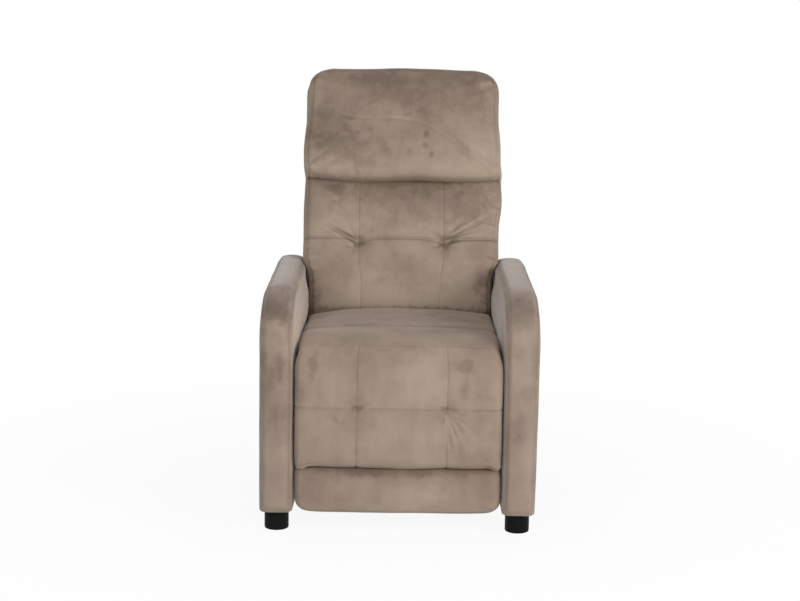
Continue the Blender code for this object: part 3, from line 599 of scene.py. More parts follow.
@dataclass(frozen=True)
class Velvet(Finish):
    """Short-pile velvet with patches where the pile lies another way, a soft sheen, and each point's stored
    tone with its painted shade.
    """

    dark: Colour = (0.158, 0.112, 0.088)
    light: Colour = (0.362, 0.284, 0.222)
    patch_scale: float = 8.0
    patch_strength: float = 0.5
    sheen: float = 0.14
    sheen_roughness: float = 0.35
    sheen_tint: Colour = (0.88, 0.87, 0.88)
    gloss: float = 0.12
    nap_bump: Pair = (0.25, 0.0006)

    def dress(self, graph: Graph, shader: Node) -> None:
        """Wire the pile's colour, sheen and nap.

        Args:
            graph: The material's graph.
            shader: The material's shader node.
        """
        place = graph.add("ShaderNodeAttribute", attribute_name=Layer.REST.value).outputs["Vector"]
        # Each point's stored tone, painted shade and painted highlight included, feeds the nap.
        mark = graph.add("ShaderNodeAttribute", attribute_name=Layer.NAP.value).outputs["Fac"]
        nap = PileNap().place(graph, {"Place": place, "Mark": mark, "Patch Scale": self.patch_scale,
                                      "Patch Strength": self.patch_strength})
        colour = graph.mix(nap["Shade"], (*self.dark, 1), (*self.light, 1))
        normal = graph.bump(nap["Height"], *self.nap_bump)
        graph.feed(shader, {
            "Base Color": colour, "Roughness": nap["Roughness"], "Normal": normal,
            "Specular IOR Level": self.gloss, "Sheen Weight": self.sheen,
            "Sheen Roughness": self.sheen_roughness, "Sheen Tint": (*self.sheen_tint, 1)})


@dataclass(frozen=True)
class Thread(Finish):
    """Twisted sewing thread."""

    colour: Colour = (0.20, 0.155, 0.118)
    dark_share: float = 0.7
    threads: float = 900.0
    twist_bump: Pair = (0.3, 0.0003)
    roughness: float = 0.6
    sheen: float = 0.2

    def dress(self, graph: Graph, shader: Node) -> None:
        """Wire the thread's twist and shade.

        Args:
            graph: The material's graph.
            shader: The material's shader node.
        """
        place = graph.add("ShaderNodeTexCoord").outputs["Object"]
        twist = Weave().place(graph, {"Place": place, "Threads": self.threads})
        darker = tuple(part * self.dark_share for part in self.colour)
        colour = graph.mix(twist["Shade"], (*darker, 1), (*self.colour, 1))
        normal = graph.bump(twist["Height"], *self.twist_bump)
        graph.feed(shader, {"Base Color": colour, "Normal": normal, "Roughness": self.roughness,
                            "Sheen Weight": self.sheen})


@dataclass(frozen=True)
class Hard(Finish):
    """A hard surface: coated or bare metal, or moulded plastic."""

    colour: Colour = (0.05, 0.05, 0.055)
    roughness: float = 0.4
    metallic: float = 0.0
    scale: float = 30.0
    grain: float = 0.15
    dust: Colour = (0.20, 0.19, 0.18)
    gloss: float = 0.5
    grain_depth: float = 0.0004

    def dress(self, graph: Graph, shader: Node) -> None:
        """Wire the surface's scuffs and dust.

        Args:
            graph: The material's graph.
            shader: The material's shader node.
        """
        place = graph.add("ShaderNodeTexCoord").outputs["Object"]
        marks = Scuff().place(graph, {"Place": place, "Scale": self.scale, "Roughness": self.roughness})
        colour = graph.mix(marks["Dust"], (*self.colour, 1), (*self.dust, 1))
        normal = graph.bump(marks["Height"], self.grain, self.grain_depth)
        graph.feed(shader, {"Base Color": colour, "Roughness": marks["Roughness"], "Normal": normal,
                            "Metallic": self.metallic, "Specular IOR Level": self.gloss})


@dataclass(frozen=True)
class Plywood(Finish):
    """Plain wood with long grain."""

    pale: Colour = (0.60, 0.43, 0.26)
    deep: Colour = (0.42, 0.27, 0.14)
    grain_squeeze: Place = (0.08, 1.0, 1.0)
    grain_scale: float = 90.0
    grain_bump: Pair = (0.2, 0.0006)
    scuff_scale: float = 12.0
    roughness: float = 0.62

    def dress(self, graph: Graph, shader: Node) -> None:
        """Wire the grain.

        Args:
            graph: The material's graph.
            shader: The material's shader node.
        """
        place = graph.add("ShaderNodeTexCoord").outputs["Object"]
        long = graph.add("ShaderNodeMapping", {"Vector": place, "Scale": self.grain_squeeze}).outputs[0]
        rings = graph.noise(long, self.grain_scale, 6.0, 0.62)
        marks = Scuff().place(graph, {"Place": place, "Scale": self.scuff_scale, "Roughness": self.roughness})
        colour = graph.mix(graph.ramp(rings, 0.3, 0.7), (*self.deep, 1), (*self.pale, 1))
        graph.feed(shader, {"Base Color": colour, "Roughness": marks["Roughness"],
                            "Normal": graph.bump(rings, *self.grain_bump)})


@dataclass(frozen=True)
class Woven(Finish):
    """Woven or felted black cloth."""

    colour: Colour = (0.02, 0.02, 0.021)
    threads: float = 300.0
    pale_share: float = 2.2
    weave_bump: Pair = (0.5, 0.0005)
    roughness: float = 0.85

    def dress(self, graph: Graph, shader: Node) -> None:
        """Wire the weave.

        Args:
            graph: The material's graph.
            shader: The material's shader node.
        """
        place = graph.add("ShaderNodeTexCoord").outputs["Object"]
        weave = Weave().place(graph, {"Place": place, "Threads": self.threads})
        paler = tuple(part * self.pale_share for part in self.colour)
        colour = graph.mix(weave["Shade"], (*self.colour, 1), (*paler, 1))
        normal = graph.bump(weave["Height"], *self.weave_bump)
        graph.feed(shader, {"Base Color": colour, "Normal": normal, "Roughness": self.roughness})


VELVET = Velvet("taupe_velvet")
# The arm's paler light colour lets the painted light on its inner panel reach brighter; the arm's tone is
# scaled and lowered to match the other covers.
ARM_VELVET = Velvet("taupe_velvet_arm", light=(0.460, 0.372, 0.300), patch_scale=6.5, patch_strength=0.34,
                    sheen=0.46)
THREAD = Thread("taupe_thread")
HARD_FINISHES = {
    Slot.STEEL: Hard("black_coated_steel", (0.035, 0.035, 0.038), roughness=0.38),
    Slot.SPRING_STEEL: Hard("drawn_spring_wire", (0.36, 0.36, 0.37), roughness=0.32, metallic=1.0,
                            scale=60.0),
    Slot.BLACK_PLASTIC: Hard("satin_black_plastic", (0.004, 0.004, 0.004), roughness=0.55, scale=25.0,
                             grain=0.1, dust=(0.012, 0.012, 0.012), gloss=0.08),
    Slot.PLYWOOD: Plywood("birch_plywood"),
    Slot.LINING: Woven("black_lining"),
    Slot.WEBBING: Woven("black_webbing", (0.03, 0.03, 0.03), threads=220.0),
}


def read_rows(source: bpy.types.bpy_prop_collection, key: str) -> Values:
    """Return a collection's vectors as rows of x, y, z.

    Args:
        source: The collection.
        key: Name of the vector that each of its items has.

    Returns:
        One row for each item.
    """
    found = np.zeros(len(source) * 3, np.float32)
    source.foreach_get(key, found)
    return found.reshape(-1, 3).astype(float)


def points_of(mesh: Mesh) -> Values:
    """Return a mesh's points as rows of x, y, z."""
    return read_rows(mesh.vertices, "co")


def set_points(mesh: Mesh, places: Values) -> None:
    """Move a mesh's points to new places."""
    mesh.vertices.foreach_set("co", places.astype(np.float32).ravel())
    mesh.update()


def normals_of(mesh: Mesh) -> Values:
    """Return a mesh's point normals as rows of x, y, z."""
    return read_rows(mesh.vertex_normals, "vector")


def set_layer(mesh: Mesh, layer: Layer, values: Values) -> None:
    """Store a value for each point of a mesh.

    Args:
        mesh: The mesh.
        layer: The layer's name.
        values: One number, or one x, y, z row, for each point.
    """
    kind, key = ("FLOAT", "value") if values.ndim == 1 else ("FLOAT_VECTOR", "vector")
    attribute = mesh.attributes.get(layer.value) or mesh.attributes.new(layer.value, kind, "POINT")
    attribute.data.foreach_set(key, values.astype(np.float32).ravel())


def read_layer(mesh: Mesh, layer: Layer) -> Values:
    """Return a vector layer of a mesh as rows of three numbers."""
    return read_rows(mesh.attributes[layer.value].data, "vector")


def grid_faces(height: int, width: int) -> list[list[int]]:
    """Return the faces of a grid of points that is so many rows high and so many columns wide."""
    return [[first, first + 1, first + width + 1, first + width]
            for row in range(height - 1) for first in range(row * width, row * width + width - 1)]


def new_piece(name: str, places: Sequence, faces: Sequence, finishes: Sequence[Finish]) -> Piece:
    """Make a smooth-shaded mesh object.

    Args:
        name: Piece name.
        places: Points.
        faces: Point numbers of each face.
        finishes: Finishes, in the order of the material slots.

    Returns:
        The new object.
    """
    mesh = bpy.data.meshes.new(name)
    mesh.from_pydata([tuple(place) for place in places], [], faces)
    work = bmesh.new()
    work.from_mesh(mesh)
    bmesh.ops.recalc_face_normals(work, faces=work.faces)
    work.to_mesh(mesh)
    work.free()
    mesh.shade_smooth()
    for finish in finishes:
        mesh.materials.append(finish.material())
    piece = bpy.data.objects.new(name, mesh)
    bpy.context.scene.collection.objects.link(piece)
    return piece


def refine(piece: Piece) -> None:
    """Subdivide a piece once and keep the result as its mesh.

    Args:
        piece: The piece.
    """
    change = piece.modifiers.new("refine", "SUBSURF")
    change.levels = change.render_levels = 1
    graph = bpy.context.evaluated_depsgraph_get()
    made = bpy.data.meshes.new_from_object(piece.evaluated_get(graph))
    piece.modifiers.remove(change)
    old, name = piece.data, piece.data.name
    piece.data = made
    bpy.data.meshes.remove(old)
    made.name = name
    made.shade_smooth()


@dataclass(frozen=True)
class Filling:
    """How a cover is swelled by cloth pressure, and how far it may move."""

    pressure: float = 4.0
    frames: int = 20
    most: float = 0.022
    least_hold: float = 0.01

    def swell(self, piece: Piece, held: Values) -> None:
        """Swell a closed cover and keep the result as its mesh.

        Args:
            piece: The cover.
            held: How firmly each point is held, from 0 to 1.
        """
        group = piece.vertex_groups.new(name="held")
        for number, weight in enumerate(held):
            if weight > self.least_hold:
                group.add([number], float(weight), "REPLACE")
        cloth = piece.modifiers.new("swell", "CLOTH")
        cloth.settings.use_pressure = True
        cloth.settings.uniform_pressure_force = self.pressure
        cloth.settings.vertex_group_mass = group.name
        cloth.settings.effector_weights.gravity = 0.0
        cloth.point_cache.frame_start = 1
        cloth.point_cache.frame_end = self.frames
        scene = bpy.context.scene
        for number in range(1, self.frames + 1):
            scene.frame_set(number)
        start = points_of(piece.data)
        end = points_of(piece.evaluated_get(bpy.context.evaluated_depsgraph_get()).data)
        piece.modifiers.remove(cloth)
        piece.vertex_groups.remove(group)
        scene.frame_set(1)
        move = end - start
        length = np.linalg.norm(move, axis=1, keepdims=True)
        set_points(piece.data, start + move * self.most / (self.most + length))
        LOG.info("%s swelled by %.1f mm at most", piece.name, 1000 * float(length.max()))


@dataclass(frozen=True)
class Stitching:
    """A row of stitches: short raised threads laid along a line on a cover."""

    length: float = 0.0042
    pitch: float = 0.0056
    radius: float = 0.00048
    sides: int = 6
    shortest: float = 0.4
    lifts: Place = (-0.2, 0.7, -0.2)
    widths: Place = (0.6, 1.0, 0.6)

    def shapes(self, line: Values, up: Values) -> tuple[list, list]:
        """Return the stitches along a line.

        Args:
            line: Points on the cover, in order.
            up: The cover's normal at each point.

        Returns:
            Points and faces of the stitches.
        """
        steps = np.linalg.norm(np.diff(line, axis=0), axis=1)
        run = np.concatenate([[0.0], np.cumsum(steps)])
        places, faces = [], []
        for number in range(int(run[-1] / self.pitch)):
            centre = self.pitch * (number + 0.5)
            ends = [np.array([np.interp(centre + shift, run, line[:, axis]) for axis in range(3)])
                    for shift in (-self.length / 2, 0.0, self.length / 2)]
            normal = np.array([np.interp(centre, run, up[:, axis]) for axis in range(3)])
            along = ends[2] - ends[0]
            if np.linalg.norm(along) < self.length * self.shortest:
                continue
            aside = np.cross(along / np.linalg.norm(along), normal)
            first = len(places)
            for place, lift, share in zip(ends, self.lifts, self.widths):
                for turn in range(self.sides):
                    angle = 2 * math.pi / self.sides * turn
                    ring = aside * math.cos(angle) + normal * math.sin(angle)
                    places.append(place + normal * self.radius * lift + ring * self.radius * share)
            for start in (first, first + self.sides):
                for turn in range(self.sides):
                    after = (turn + 1) % self.sides
                    faces.append([start + turn, start + after,
                                  start + self.sides + after, start + self.sides + turn])
            faces.append([first + turn for turn in reversed(range(self.sides))])
            faces.append([first + 2 * self.sides + turn for turn in range(self.sides)])
        return places, faces


def sew(piece: Piece, rows: Sequence[tuple[Values, Values]]) -> None:
    """Add rows of stitches to a finished cover, as part of its mesh.

    Args:
        piece: The cover; its second material is the thread.
        rows: Lines and their normals.
    """
    mesh = piece.data
    places, faces = [], []
    for line, up in rows:
        if len(line) < 3:
            continue
        more_places, more_faces = Stitching().shapes(line, up)
        faces += [[number + len(places) for number in face] for face in more_faces]
        places += more_places
    if not places:
        return
    first_point, first_face, first_corner = len(mesh.vertices), len(mesh.polygons), len(mesh.loops)
    corners = [number + first_point for face in faces for number in face]
    mesh.vertices.add(len(places))
    mesh.loops.add(len(corners))
    mesh.polygons.add(len(faces))
    every = points_of(mesh)
    every[first_point:] = np.array(places)
    starts = first_corner + np.cumsum([0, *(len(face) for face in faces[:-1])])
    vertex_of = np.zeros(len(mesh.loops), np.int32)
    mesh.loops.foreach_get("vertex_index", vertex_of)
    vertex_of[first_corner:] = corners
    mesh.loops.foreach_set("vertex_index", vertex_of)
    for number, start in enumerate(starts):
        face = mesh.polygons[first_face + number]
        face.loop_start = int(start)
        face.material_index = 1
    mesh.update(calc_edges=True)
    set_points(mesh, every)
    rest = read_layer(mesh, Layer.REST)
    rest[first_point:] = np.array(places)
    set_layer(mesh, Layer.REST, rest)
    mesh.shade_smooth()


@dataclass
class Cover:
    """A sewn cover over a filled form: a gridded face, walls round its rim, and a floor.

    The face is laid out flat: across runs from side to side, along from low to high.
    """

    name: str
    body: str
    stands_for: tuple[str, ...]
    half: float = 0.0
    low: float = 0.0
    high: float = 0.0
    edge: float = 0.016
    corner: float = 0.0
    upright: tuple[float, ...] = ()
    level: tuple[float, ...] = ()
    tuft_row: float = 0.0
    pit: Pit = Pit(0.0, 1.0)
    rim_hold: float = 0.016
    row_hold: float = 0.8
    upright_hold: float = 0.8
    pit_hold: float = 0.010
    fill: float = 0.7
    step: float = 0.0055
    wall_steps: int = 4
    seed: float = 1.0
    uneven: float = 0.0012
    uneven_waves: float = 14.0
    # Painted shade by facing: the nap tone is darker where the face looks up and lighter where it looks down.
    facing_shade: float = 0.9
    facing_shade_level: float = 0.24
    facing_shade_limit: float = 0.4
    # Painted shade in seam grooves, tuft pits and creases; painted shade in fold valleys and painted
    # highlight on fold ridges.
    seam_painted_shade: float = 45.0
    relief_painted_shade: float = 14.0
    fold_painted_light: float = 38.0
    wall_fade: float = 3.0
    filling: Filling = field(default_factory=Filling)
    wrinkles: tuple[Wrinkle, ...] = ()
    marks: tuple[NapAndShadeMark, ...] = ()

    def columns(self) -> Values:
        """Return the grid places across the cover."""
        return stations(-self.half, self.half, self.step, self.upright)

    def rows(self) -> Values:
        """Return the grid places along the cover."""
        return stations(self.low, self.high, self.step, self.level)

    def from_side(self, across: Values) -> Values:
        """Return the distance in from the nearer side."""
        return self.half - np.abs(across)

    def rim(self, across: Values, along: Values) -> Values:
        """Return the distance in from the rim."""
        return np.minimum(self.from_side(across), np.minimum(along - self.low, self.high - along))

    def corner_pull(self, along: Values) -> Values:
        """Return how far round corners draw the sides in at the high end."""
        into = np.clip(along - (self.high - self.corner), 0.0, self.corner)
        return rounded(self.corner - into, self.corner)

    def face(self, across: Values, along: Values) -> Values:
        """Return the face's points at the grid places."""
        raise NotImplementedError

    def floor(self, across: Values, along: Values) -> Values:
        """Return the floor's points under the rim's grid places."""
        raise NotImplementedError

    def upright_share(self, along: Values) -> Values:
        """Return where the upright seams run: here all the way."""
        return np.ones(along.shape)

    def held(self, across: Values, along: Values) -> Values:
        """Return how firmly the rim, the seams and the tufts hold each face point.

        Args:
            across, along: Places on the cover.

        Returns:
            The hold, from 0 to 1.
        """
        hold = 1 - smoothstep(0.0, self.rim_hold, self.rim(across, along))
        for line in self.level:
            hold = np.maximum(hold, self.row_hold * bell(along - line, HOLD_WIDTH))
        sewn = self.upright_hold * self.upright_share(along)
        for line in self.upright:
            hold = np.maximum(hold, sewn * bell(across - line, HOLD_WIDTH))
            hold = np.maximum(hold, bell(np.hypot(across - line, along - self.tuft_row), self.pit_hold))
        return hold

    def lines(self, across: Values, along: Values) -> Values:
        """Return how far sewn lines push each face point outward: here none."""
        return np.zeros(across.shape)

    def relief(self, across: Values, along: Values) -> Values:
        """Return how far tufts push each face point outward."""
        pits = (self.pit.push(across, along, (line, self.tuft_row)) for line in self.upright)
        return sum(pits, np.zeros(across.shape))

    def build(self) -> Piece:
        """Make the cover.

        Returns:
            The finished piece, riding on nothing yet.
        """
        across, along = np.meshgrid(self.columns(), self.rows())
        height, width = across.shape
        numbers = np.arange(height * width).reshape(height, width)
        rim = np.concatenate([numbers[0, :-1], numbers[:-1, -1], numbers[-1, :0:-1], numbers[:0:-1, 0]])
        rim_across, rim_along = across.ravel()[rim], along.ravel()[rim]
        face = self.face(across, along).reshape(-1, 3)
        floor = self.floor(rim_across, rim_along)
        faces = grid_faces(height, width)
        places = [face]
        sewn = [np.stack([across.ravel(), along.ravel(), np.zeros(across.size)], axis=1)]
        held = [self.held(across, along).ravel()]
        ring = rim
        for number in range(1, self.wall_steps + 1):
            share = number / self.wall_steps
            places.append(face[rim] + (floor - face[rim]) * share)
            sewn.append(np.stack([rim_across, rim_along, np.full(len(rim), share)], axis=1))
            held.append(np.ones(len(rim)))
            below = np.arange(len(rim)) + height * width + (number - 1) * len(rim)
            wall = np.stack([np.roll(ring, -1), ring, below, np.roll(below, -1)], axis=1)
            faces += wall.tolist()
            ring = below
        faces += self.close_floor(ring, height, width)
        piece = new_piece(self.name, np.concatenate(places), faces, (VELVET,))
        set_layer(piece.data, Layer.SEWN, np.concatenate(sewn))
        self.filling.swell(piece, np.concatenate(held))
        refine(piece)
        self.press(piece)
        return piece

    @staticmethod
    def close_floor(ring: Values, height: int, width: int) -> list[list[int]]:
        """Return strips of faces that close the floor from side to side.

        Args:
            ring: Point numbers of the floor's rim.
            height: Rows of the face.
            width: Columns of the face.

        Returns:
            The faces.
        """
        ring = ring.tolist()
        corner = width - 1
        right = ring[corner:corner + height]
        left = [ring[0], *ring[:-height:-1]]
        strips = [[left[row], left[row + 1], right[row + 1], right[row]] for row in range(height - 1)]
        strips[0] = [left[0], left[1], right[1], *ring[corner:0:-1]]
        far = corner + height - 1
        strips[-1] = [*ring[far:far + width], left[-2], right[-2]]
        return strips

    def press(self, piece: Piece) -> None:
        """Press seams, folds and unevenness into a refined cover, and store its nap tone: painted shade by
        facing, in grooves, pits and folds, painted highlight on fold ridges, and the listed patches.

        Args:
            piece: The refined cover.
        """
        mesh = piece.data
        across, along, wall = read_layer(mesh, Layer.SEWN).T
        start = points_of(mesh)
        on_face = np.clip(1 - self.wall_fade * wall, 0.0, 1.0)
        seams, tufts = self.lines(across, along), self.relief(across, along)
        folds = sum((fold.push(across, along) for fold in self.wrinkles), np.zeros(across.shape))
        unevenness = self.uneven * ripple(start, self.uneven_waves, self.seed)
        push = (seams + tufts + folds + unevenness) * on_face
        set_points(mesh, start + normals_of(mesh) * push[:, None])
        set_layer(mesh, Layer.REST, points_of(mesh))
        # Painted shade by facing: darker where the face looks up, lighter where it looks down.
        upward = normals_of(mesh)[:, 2]
        tone = self.facing_shade * np.clip(self.facing_shade_level - upward, -self.facing_shade_limit, self.facing_shade_limit)
        # Painted shade in seam grooves, pits and creases and in fold valleys; painted highlight on fold
        # ridges.
        tone = tone + self.seam_painted_shade * seams + self.relief_painted_shade * tufts + self.fold_painted_light * folds
        tone = tone + brushed(self.marks, across, along, self.seed)
        set_layer(mesh, Layer.NAP, tone * on_face)
        mesh.attributes.remove(mesh.attributes[Layer.SEWN.value])

    def hang(self, piece: Piece) -> None:
        """Let the piece ride on its body."""
        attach(piece, self.body)

    def fit(self, piece: Piece) -> None:
        """Let the piece stand for its solids, say what it is, and hang it on what carries it.

        Args:
            piece: The finished cover.
        """
        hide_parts(*self.stands_for)
        self.hang(piece)
        LOG.info("%s: %d points", piece.name, len(piece.data.vertices))


@dataclass
class BackCover(Cover):
    """A cover on the backrest, laid out along the leaning back from its hinge."""

    edge: float = 0.026
    hinge: Pair = (0.142, 0.29999)
    lean: float = math.radians(14)
    back: float = -0.0187

    def share(self, along: Values) -> Values:
        """Return how far up the cover each place is, from 0 to 1."""
        return (along - self.low) / (self.high - self.low)

    def world(self, across: Values, along: Values, depth: Values) -> Values:
        """Return places of the leaning back in the chair's frame.

        Args:
            across: Distance to the right of the middle.
            along: Distance up the back from its hinge.
            depth: Distance forward of the hinge, square to the back.

        Returns:
            Points with x, y and z in the last direction.
        """
        y = self.hinge[0] + along * math.sin(self.lean) - depth * math.cos(self.lean)
        z = self.hinge[1] + along * math.cos(self.lean) + depth * math.sin(self.lean)
        return np.stack([across, y, z], axis=-1)

    def outline(self, across: Values, along: Values) -> Values:
        """Return x at the grid places."""
        raise NotImplementedError

    def lift(self, across: Values, along: Values) -> Values:
        """Return how far an edge rises: here not at all."""
        return np.zeros(across.shape)

    def floor(self, across: Values, along: Values) -> Values:
        """Return the floor against the frame."""
        upright = along + self.lift(across, along)
        return self.world(self.outline(across, along), upright, np.full(across.shape, self.back))


LUMBAR_SEAMS = (-0.1005, 0.1005)
LUMBAR_TUFT = 0.2930


def lumbar_wrinkles() -> tuple[Wrinkle, ...]:
    """Return the folds that the two tufts draw in the lumbar cushion, and the puckers at its sides.

    Returns:
        The folds, then the puckers.
    """
    left, right = (LUMBAR_SEAMS[0], LUMBAR_TUFT), (LUMBAR_SEAMS[1], LUMBAR_TUFT)
    reaches = (
        (left, (-0.092, 0.044), 0.0105, 0.0052, 0.007), (left, (-0.082, 0.012), 0.0075, 0.0046, 0.002),
        (left, (-0.046, -0.016), 0.0032, 0.006, 0.002), (left, (0.034, 0.022), 0.0040, 0.005, 0.0),
        (left, (0.040, -0.014), 0.0024, 0.005, 0.0), (left, (-0.018, -0.046), 0.0030, 0.006, -0.002),
        (left, (0.012, -0.050), 0.0022, 0.006, 0.0), (left, (-0.030, 0.040), 0.0022, 0.005, 0.002),
        (right, (0.108, 0.064), 0.0125, 0.0056, -0.009), (right, (0.098, 0.032), 0.0085, 0.0048, -0.004),
        (right, (0.090, 0.002), 0.0050, 0.005, 0.0), (right, (-0.036, 0.020), 0.0050, 0.005, 0.0),
        (right, (-0.026, 0.032), 0.0030, 0.005, 0.0), (right, (0.038, -0.022), 0.0030, 0.006, 0.0),
        (right, (-0.034, -0.020), 0.0026, 0.005, 0.0), (right, (0.014, -0.052), 0.0030, 0.006, 0.002),
        (right, (0.050, 0.062), 0.0030, 0.006, -0.004),
    )
    folds = [Wrinkle(start, (start[0] + go[0], start[1] + go[1]), depth, width, bow)
             for start, go, depth, width, bow in reaches]
    side, rise, depth, width = 0.231, 0.012, 0.0026, 0.0045
    shortest, longer = 0.026, 0.010
    for edge, way, heights in ((-side, 1, (0.125, 0.143, 0.162, 0.182, 0.205, 0.232, 0.262)),
                               (side, -1, (0.128, 0.150, 0.180, 0.214, 0.246, 0.330, 0.372))):
        for number, height in enumerate(heights):
            reach = shortest + longer * ((number * 7) % 3)
            folds.append(Wrinkle((edge, height), (edge + way * reach, height + rise), depth, width))
    return tuple(folds)


# Patches where the pile lies another way, and painted shade: the wide dark rows at 0.405 and 0.352 under the
# headrest, the thin dark rows at 0.117 and 0.106 where the cushion meets the seat, and the dark rows at 0.150
# and 0.132 in the lower corners beside the arms.
LUMBAR_NAP_AND_SHADE = nap_and_shade_marks(
    (-0.155, 0.405, 0.024, 0.020, -0.32, 20.0), (0.160, 0.385, 0.060, 0.048, -0.14),
    (-0.212, 0.350, 0.026, 0.055, -0.24), (0.135, 0.345, 0.030, 0.034, -0.10),
    (-0.020, 0.225, 0.080, 0.030, -0.14), (0.180, 0.205, 0.040, 0.022, -0.10, 15.0),
    (0.000, 0.150, 0.190, 0.040, 0.16), (0.070, 0.185, 0.040, 0.020, -0.14, 20.0),
    (-0.160, 0.215, 0.050, 0.030, -0.12), (0.150, 0.140, 0.060, 0.030, 0.10),
    (0.000, 0.405, 0.260, 0.046, -0.32), (0.170, 0.170, 0.050, 0.060, 0.18),
    (0.000, 0.352, 0.110, 0.050, -0.30), (0.000, 0.117, 0.160, 0.009, -0.75),
    (0.212, 0.150, 0.026, 0.060, -0.34), (-0.214, 0.132, 0.016, 0.030, -0.34),
    (-0.180, 0.106, 0.060, 0.012, -0.60), (0.180, 0.106, 0.060, 0.012, -0.60))
# Patches and finger marks in the pile; the last row is painted shade, a thin dark line along the start of the
# long crease.
HEADREST_NAP_AND_SHADE = nap_and_shade_marks(
    (0.000, 0.675, 0.240, 0.052, -0.16), (0.165, 0.630, 0.048, 0.056, -0.20),
    (-0.030, 0.660, 0.060, 0.055, -0.12), (0.075, 0.630, 0.045, 0.050, -0.16),
    (-0.150, 0.655, 0.030, 0.040, 0.10), (-0.200, 0.610, 0.022, 0.040, -0.16),
    (-0.150, 0.500, 0.080, 0.060, -0.30), (0.020, 0.470, 0.170, 0.018, 0.08),
    (0.059, 0.548, 0.0052, 0.0090, -0.42), (0.057, 0.521, 0.0080, 0.0062, -0.38),
    (0.071, 0.496, 0.0055, 0.0085, -0.32), (0.155, 0.512, 0.060, 0.013, -0.24, -48.0),
    (-0.048, 0.520, 0.010, 0.032, -0.18, 28.0), (-0.005, 0.518, 0.009, 0.022, -0.18, -20.0),
    (0.018, 0.505, 0.009, 0.016, -0.16, 24.0), (-0.133, 0.590, 0.020, 0.0040, -0.36))


@dataclass
class LumbarCushion(BackCover):
    """The tufted cushion between the seat and the headrest."""

    half: float = 0.2335
    low: float = 0.0365
    high: float = 0.4388
    upright: tuple[float, ...] = LUMBAR_SEAMS
    level: tuple[float, ...] = (LUMBAR_TUFT,)
    tuft_row: float = LUMBAR_TUFT
    pit: Pit = Pit(0.016, 0.016)
    upright_hold: float = 0.75
    pit_hold: float = 0.012
    thick: float = 0.0515
    least: float = 0.012
    crown: float = 0.009
    squeezed: float = 0.955
    waist: float = 0.2290
    over_arms: Slope = Slope(0.0145, 0.192, 0.246)
    shoulders: Slope = Slope(0.003, 0.36, 0.44)
    arm_press: Swell = Swell(0.001, 0.175, 0.04)
    stuffed_corner: Slope = Slope(0.008, 0.32, 0.40)
    corner_rise: float = 0.010
    rise_from: float = 0.36
    top: Rounding = Rounding(0.030, 0.35)
    foot_tuck: Slope = Slope(0.015, 0.095, 0.132)
    panel_depth: float = 0.003
    row_depth: float = 0.010
    row_rise: float = 0.0020
    row_dip: float = 0.0085
    dip_reach: float = 0.030
    row_reach: float = 0.05
    row_groove: Groove = Groove(0.0026)
    upright_groove: Groove = Groove(0.0016, 0.0014)
    welt: Groove = Groove(0.0028)
    welt_inset: float = 0.010

    def half_at(self, along: Values) -> Values:
        """Return the half width, wider above the arms, with the sides drawn in between the corners."""
        spread = self.over_arms.at(along) - self.shoulders.at(along)
        return self.waist + spread - self.arm_press.at(along)

    def outline(self, across: Values, along: Values) -> Values:
        """Return x, with the upper right corner stuffed a little fuller."""
        fuller = self.stuffed_corner.at(along) * RIGHT_SIDE.at(across / self.half)
        return across * self.half_at(along) / self.half + fuller

    def lift(self, across: Values, along: Values) -> Values:
        """Return how far the upper edge rises towards the corners."""
        rise = self.corner_rise * np.abs(across / self.half) ** 3
        return rise * smoothstep(self.rise_from, self.high, along)

    def face(self, across: Values, along: Values) -> Values:
        """Return the face: three swelled panels in two rows, round at the rim.

        Args:
            across, along: Places on the cover.

        Returns:
            The face's points.
        """
        panels = quilted(across, (-self.half - 0.02, *self.upright, self.half + 0.02))
        halves = quilted(along, (self.low - 0.05, *self.level, self.high + 0.01))
        depth = self.thick - self.crown * (across / self.half) ** 2
        depth = depth - self.panel_depth * (1 - panels) - self.row_depth * (1 - halves)
        depth = depth - rounded(self.from_side(across), self.edge)
        depth = depth - rounded(along - self.low, self.edge) - self.top.drop(self.high - along)
        depth = depth - self.foot_tuck.before(along)
        depth = np.maximum(depth, self.back + self.least)
        dips = sum(bell(across - line, self.dip_reach) for line in self.upright)
        wave = (self.row_rise - self.row_dip * dips) * bell(along - LUMBAR_TUFT, self.row_reach)
        return self.world(self.outline(across, along), along + wave + self.lift(across, along), depth)

    def lines(self, across: Values, along: Values) -> Values:
        """Return the push of the seams and the side welts.

        Args:
            across, along: Places on the cover.

        Returns:
            The outward push.
        """
        push = self.row_groove.push(along - LUMBAR_TUFT)
        for line in self.upright:
            push = push + self.upright_groove.push(across - line)
        return push + self.welt.push(self.from_side(across) - self.welt_inset)

    def hang(self, piece: Piece) -> None:
        """Let the cushion ride on the back, with a mesh of its own."""
        super().hang(piece)
        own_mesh(piece)


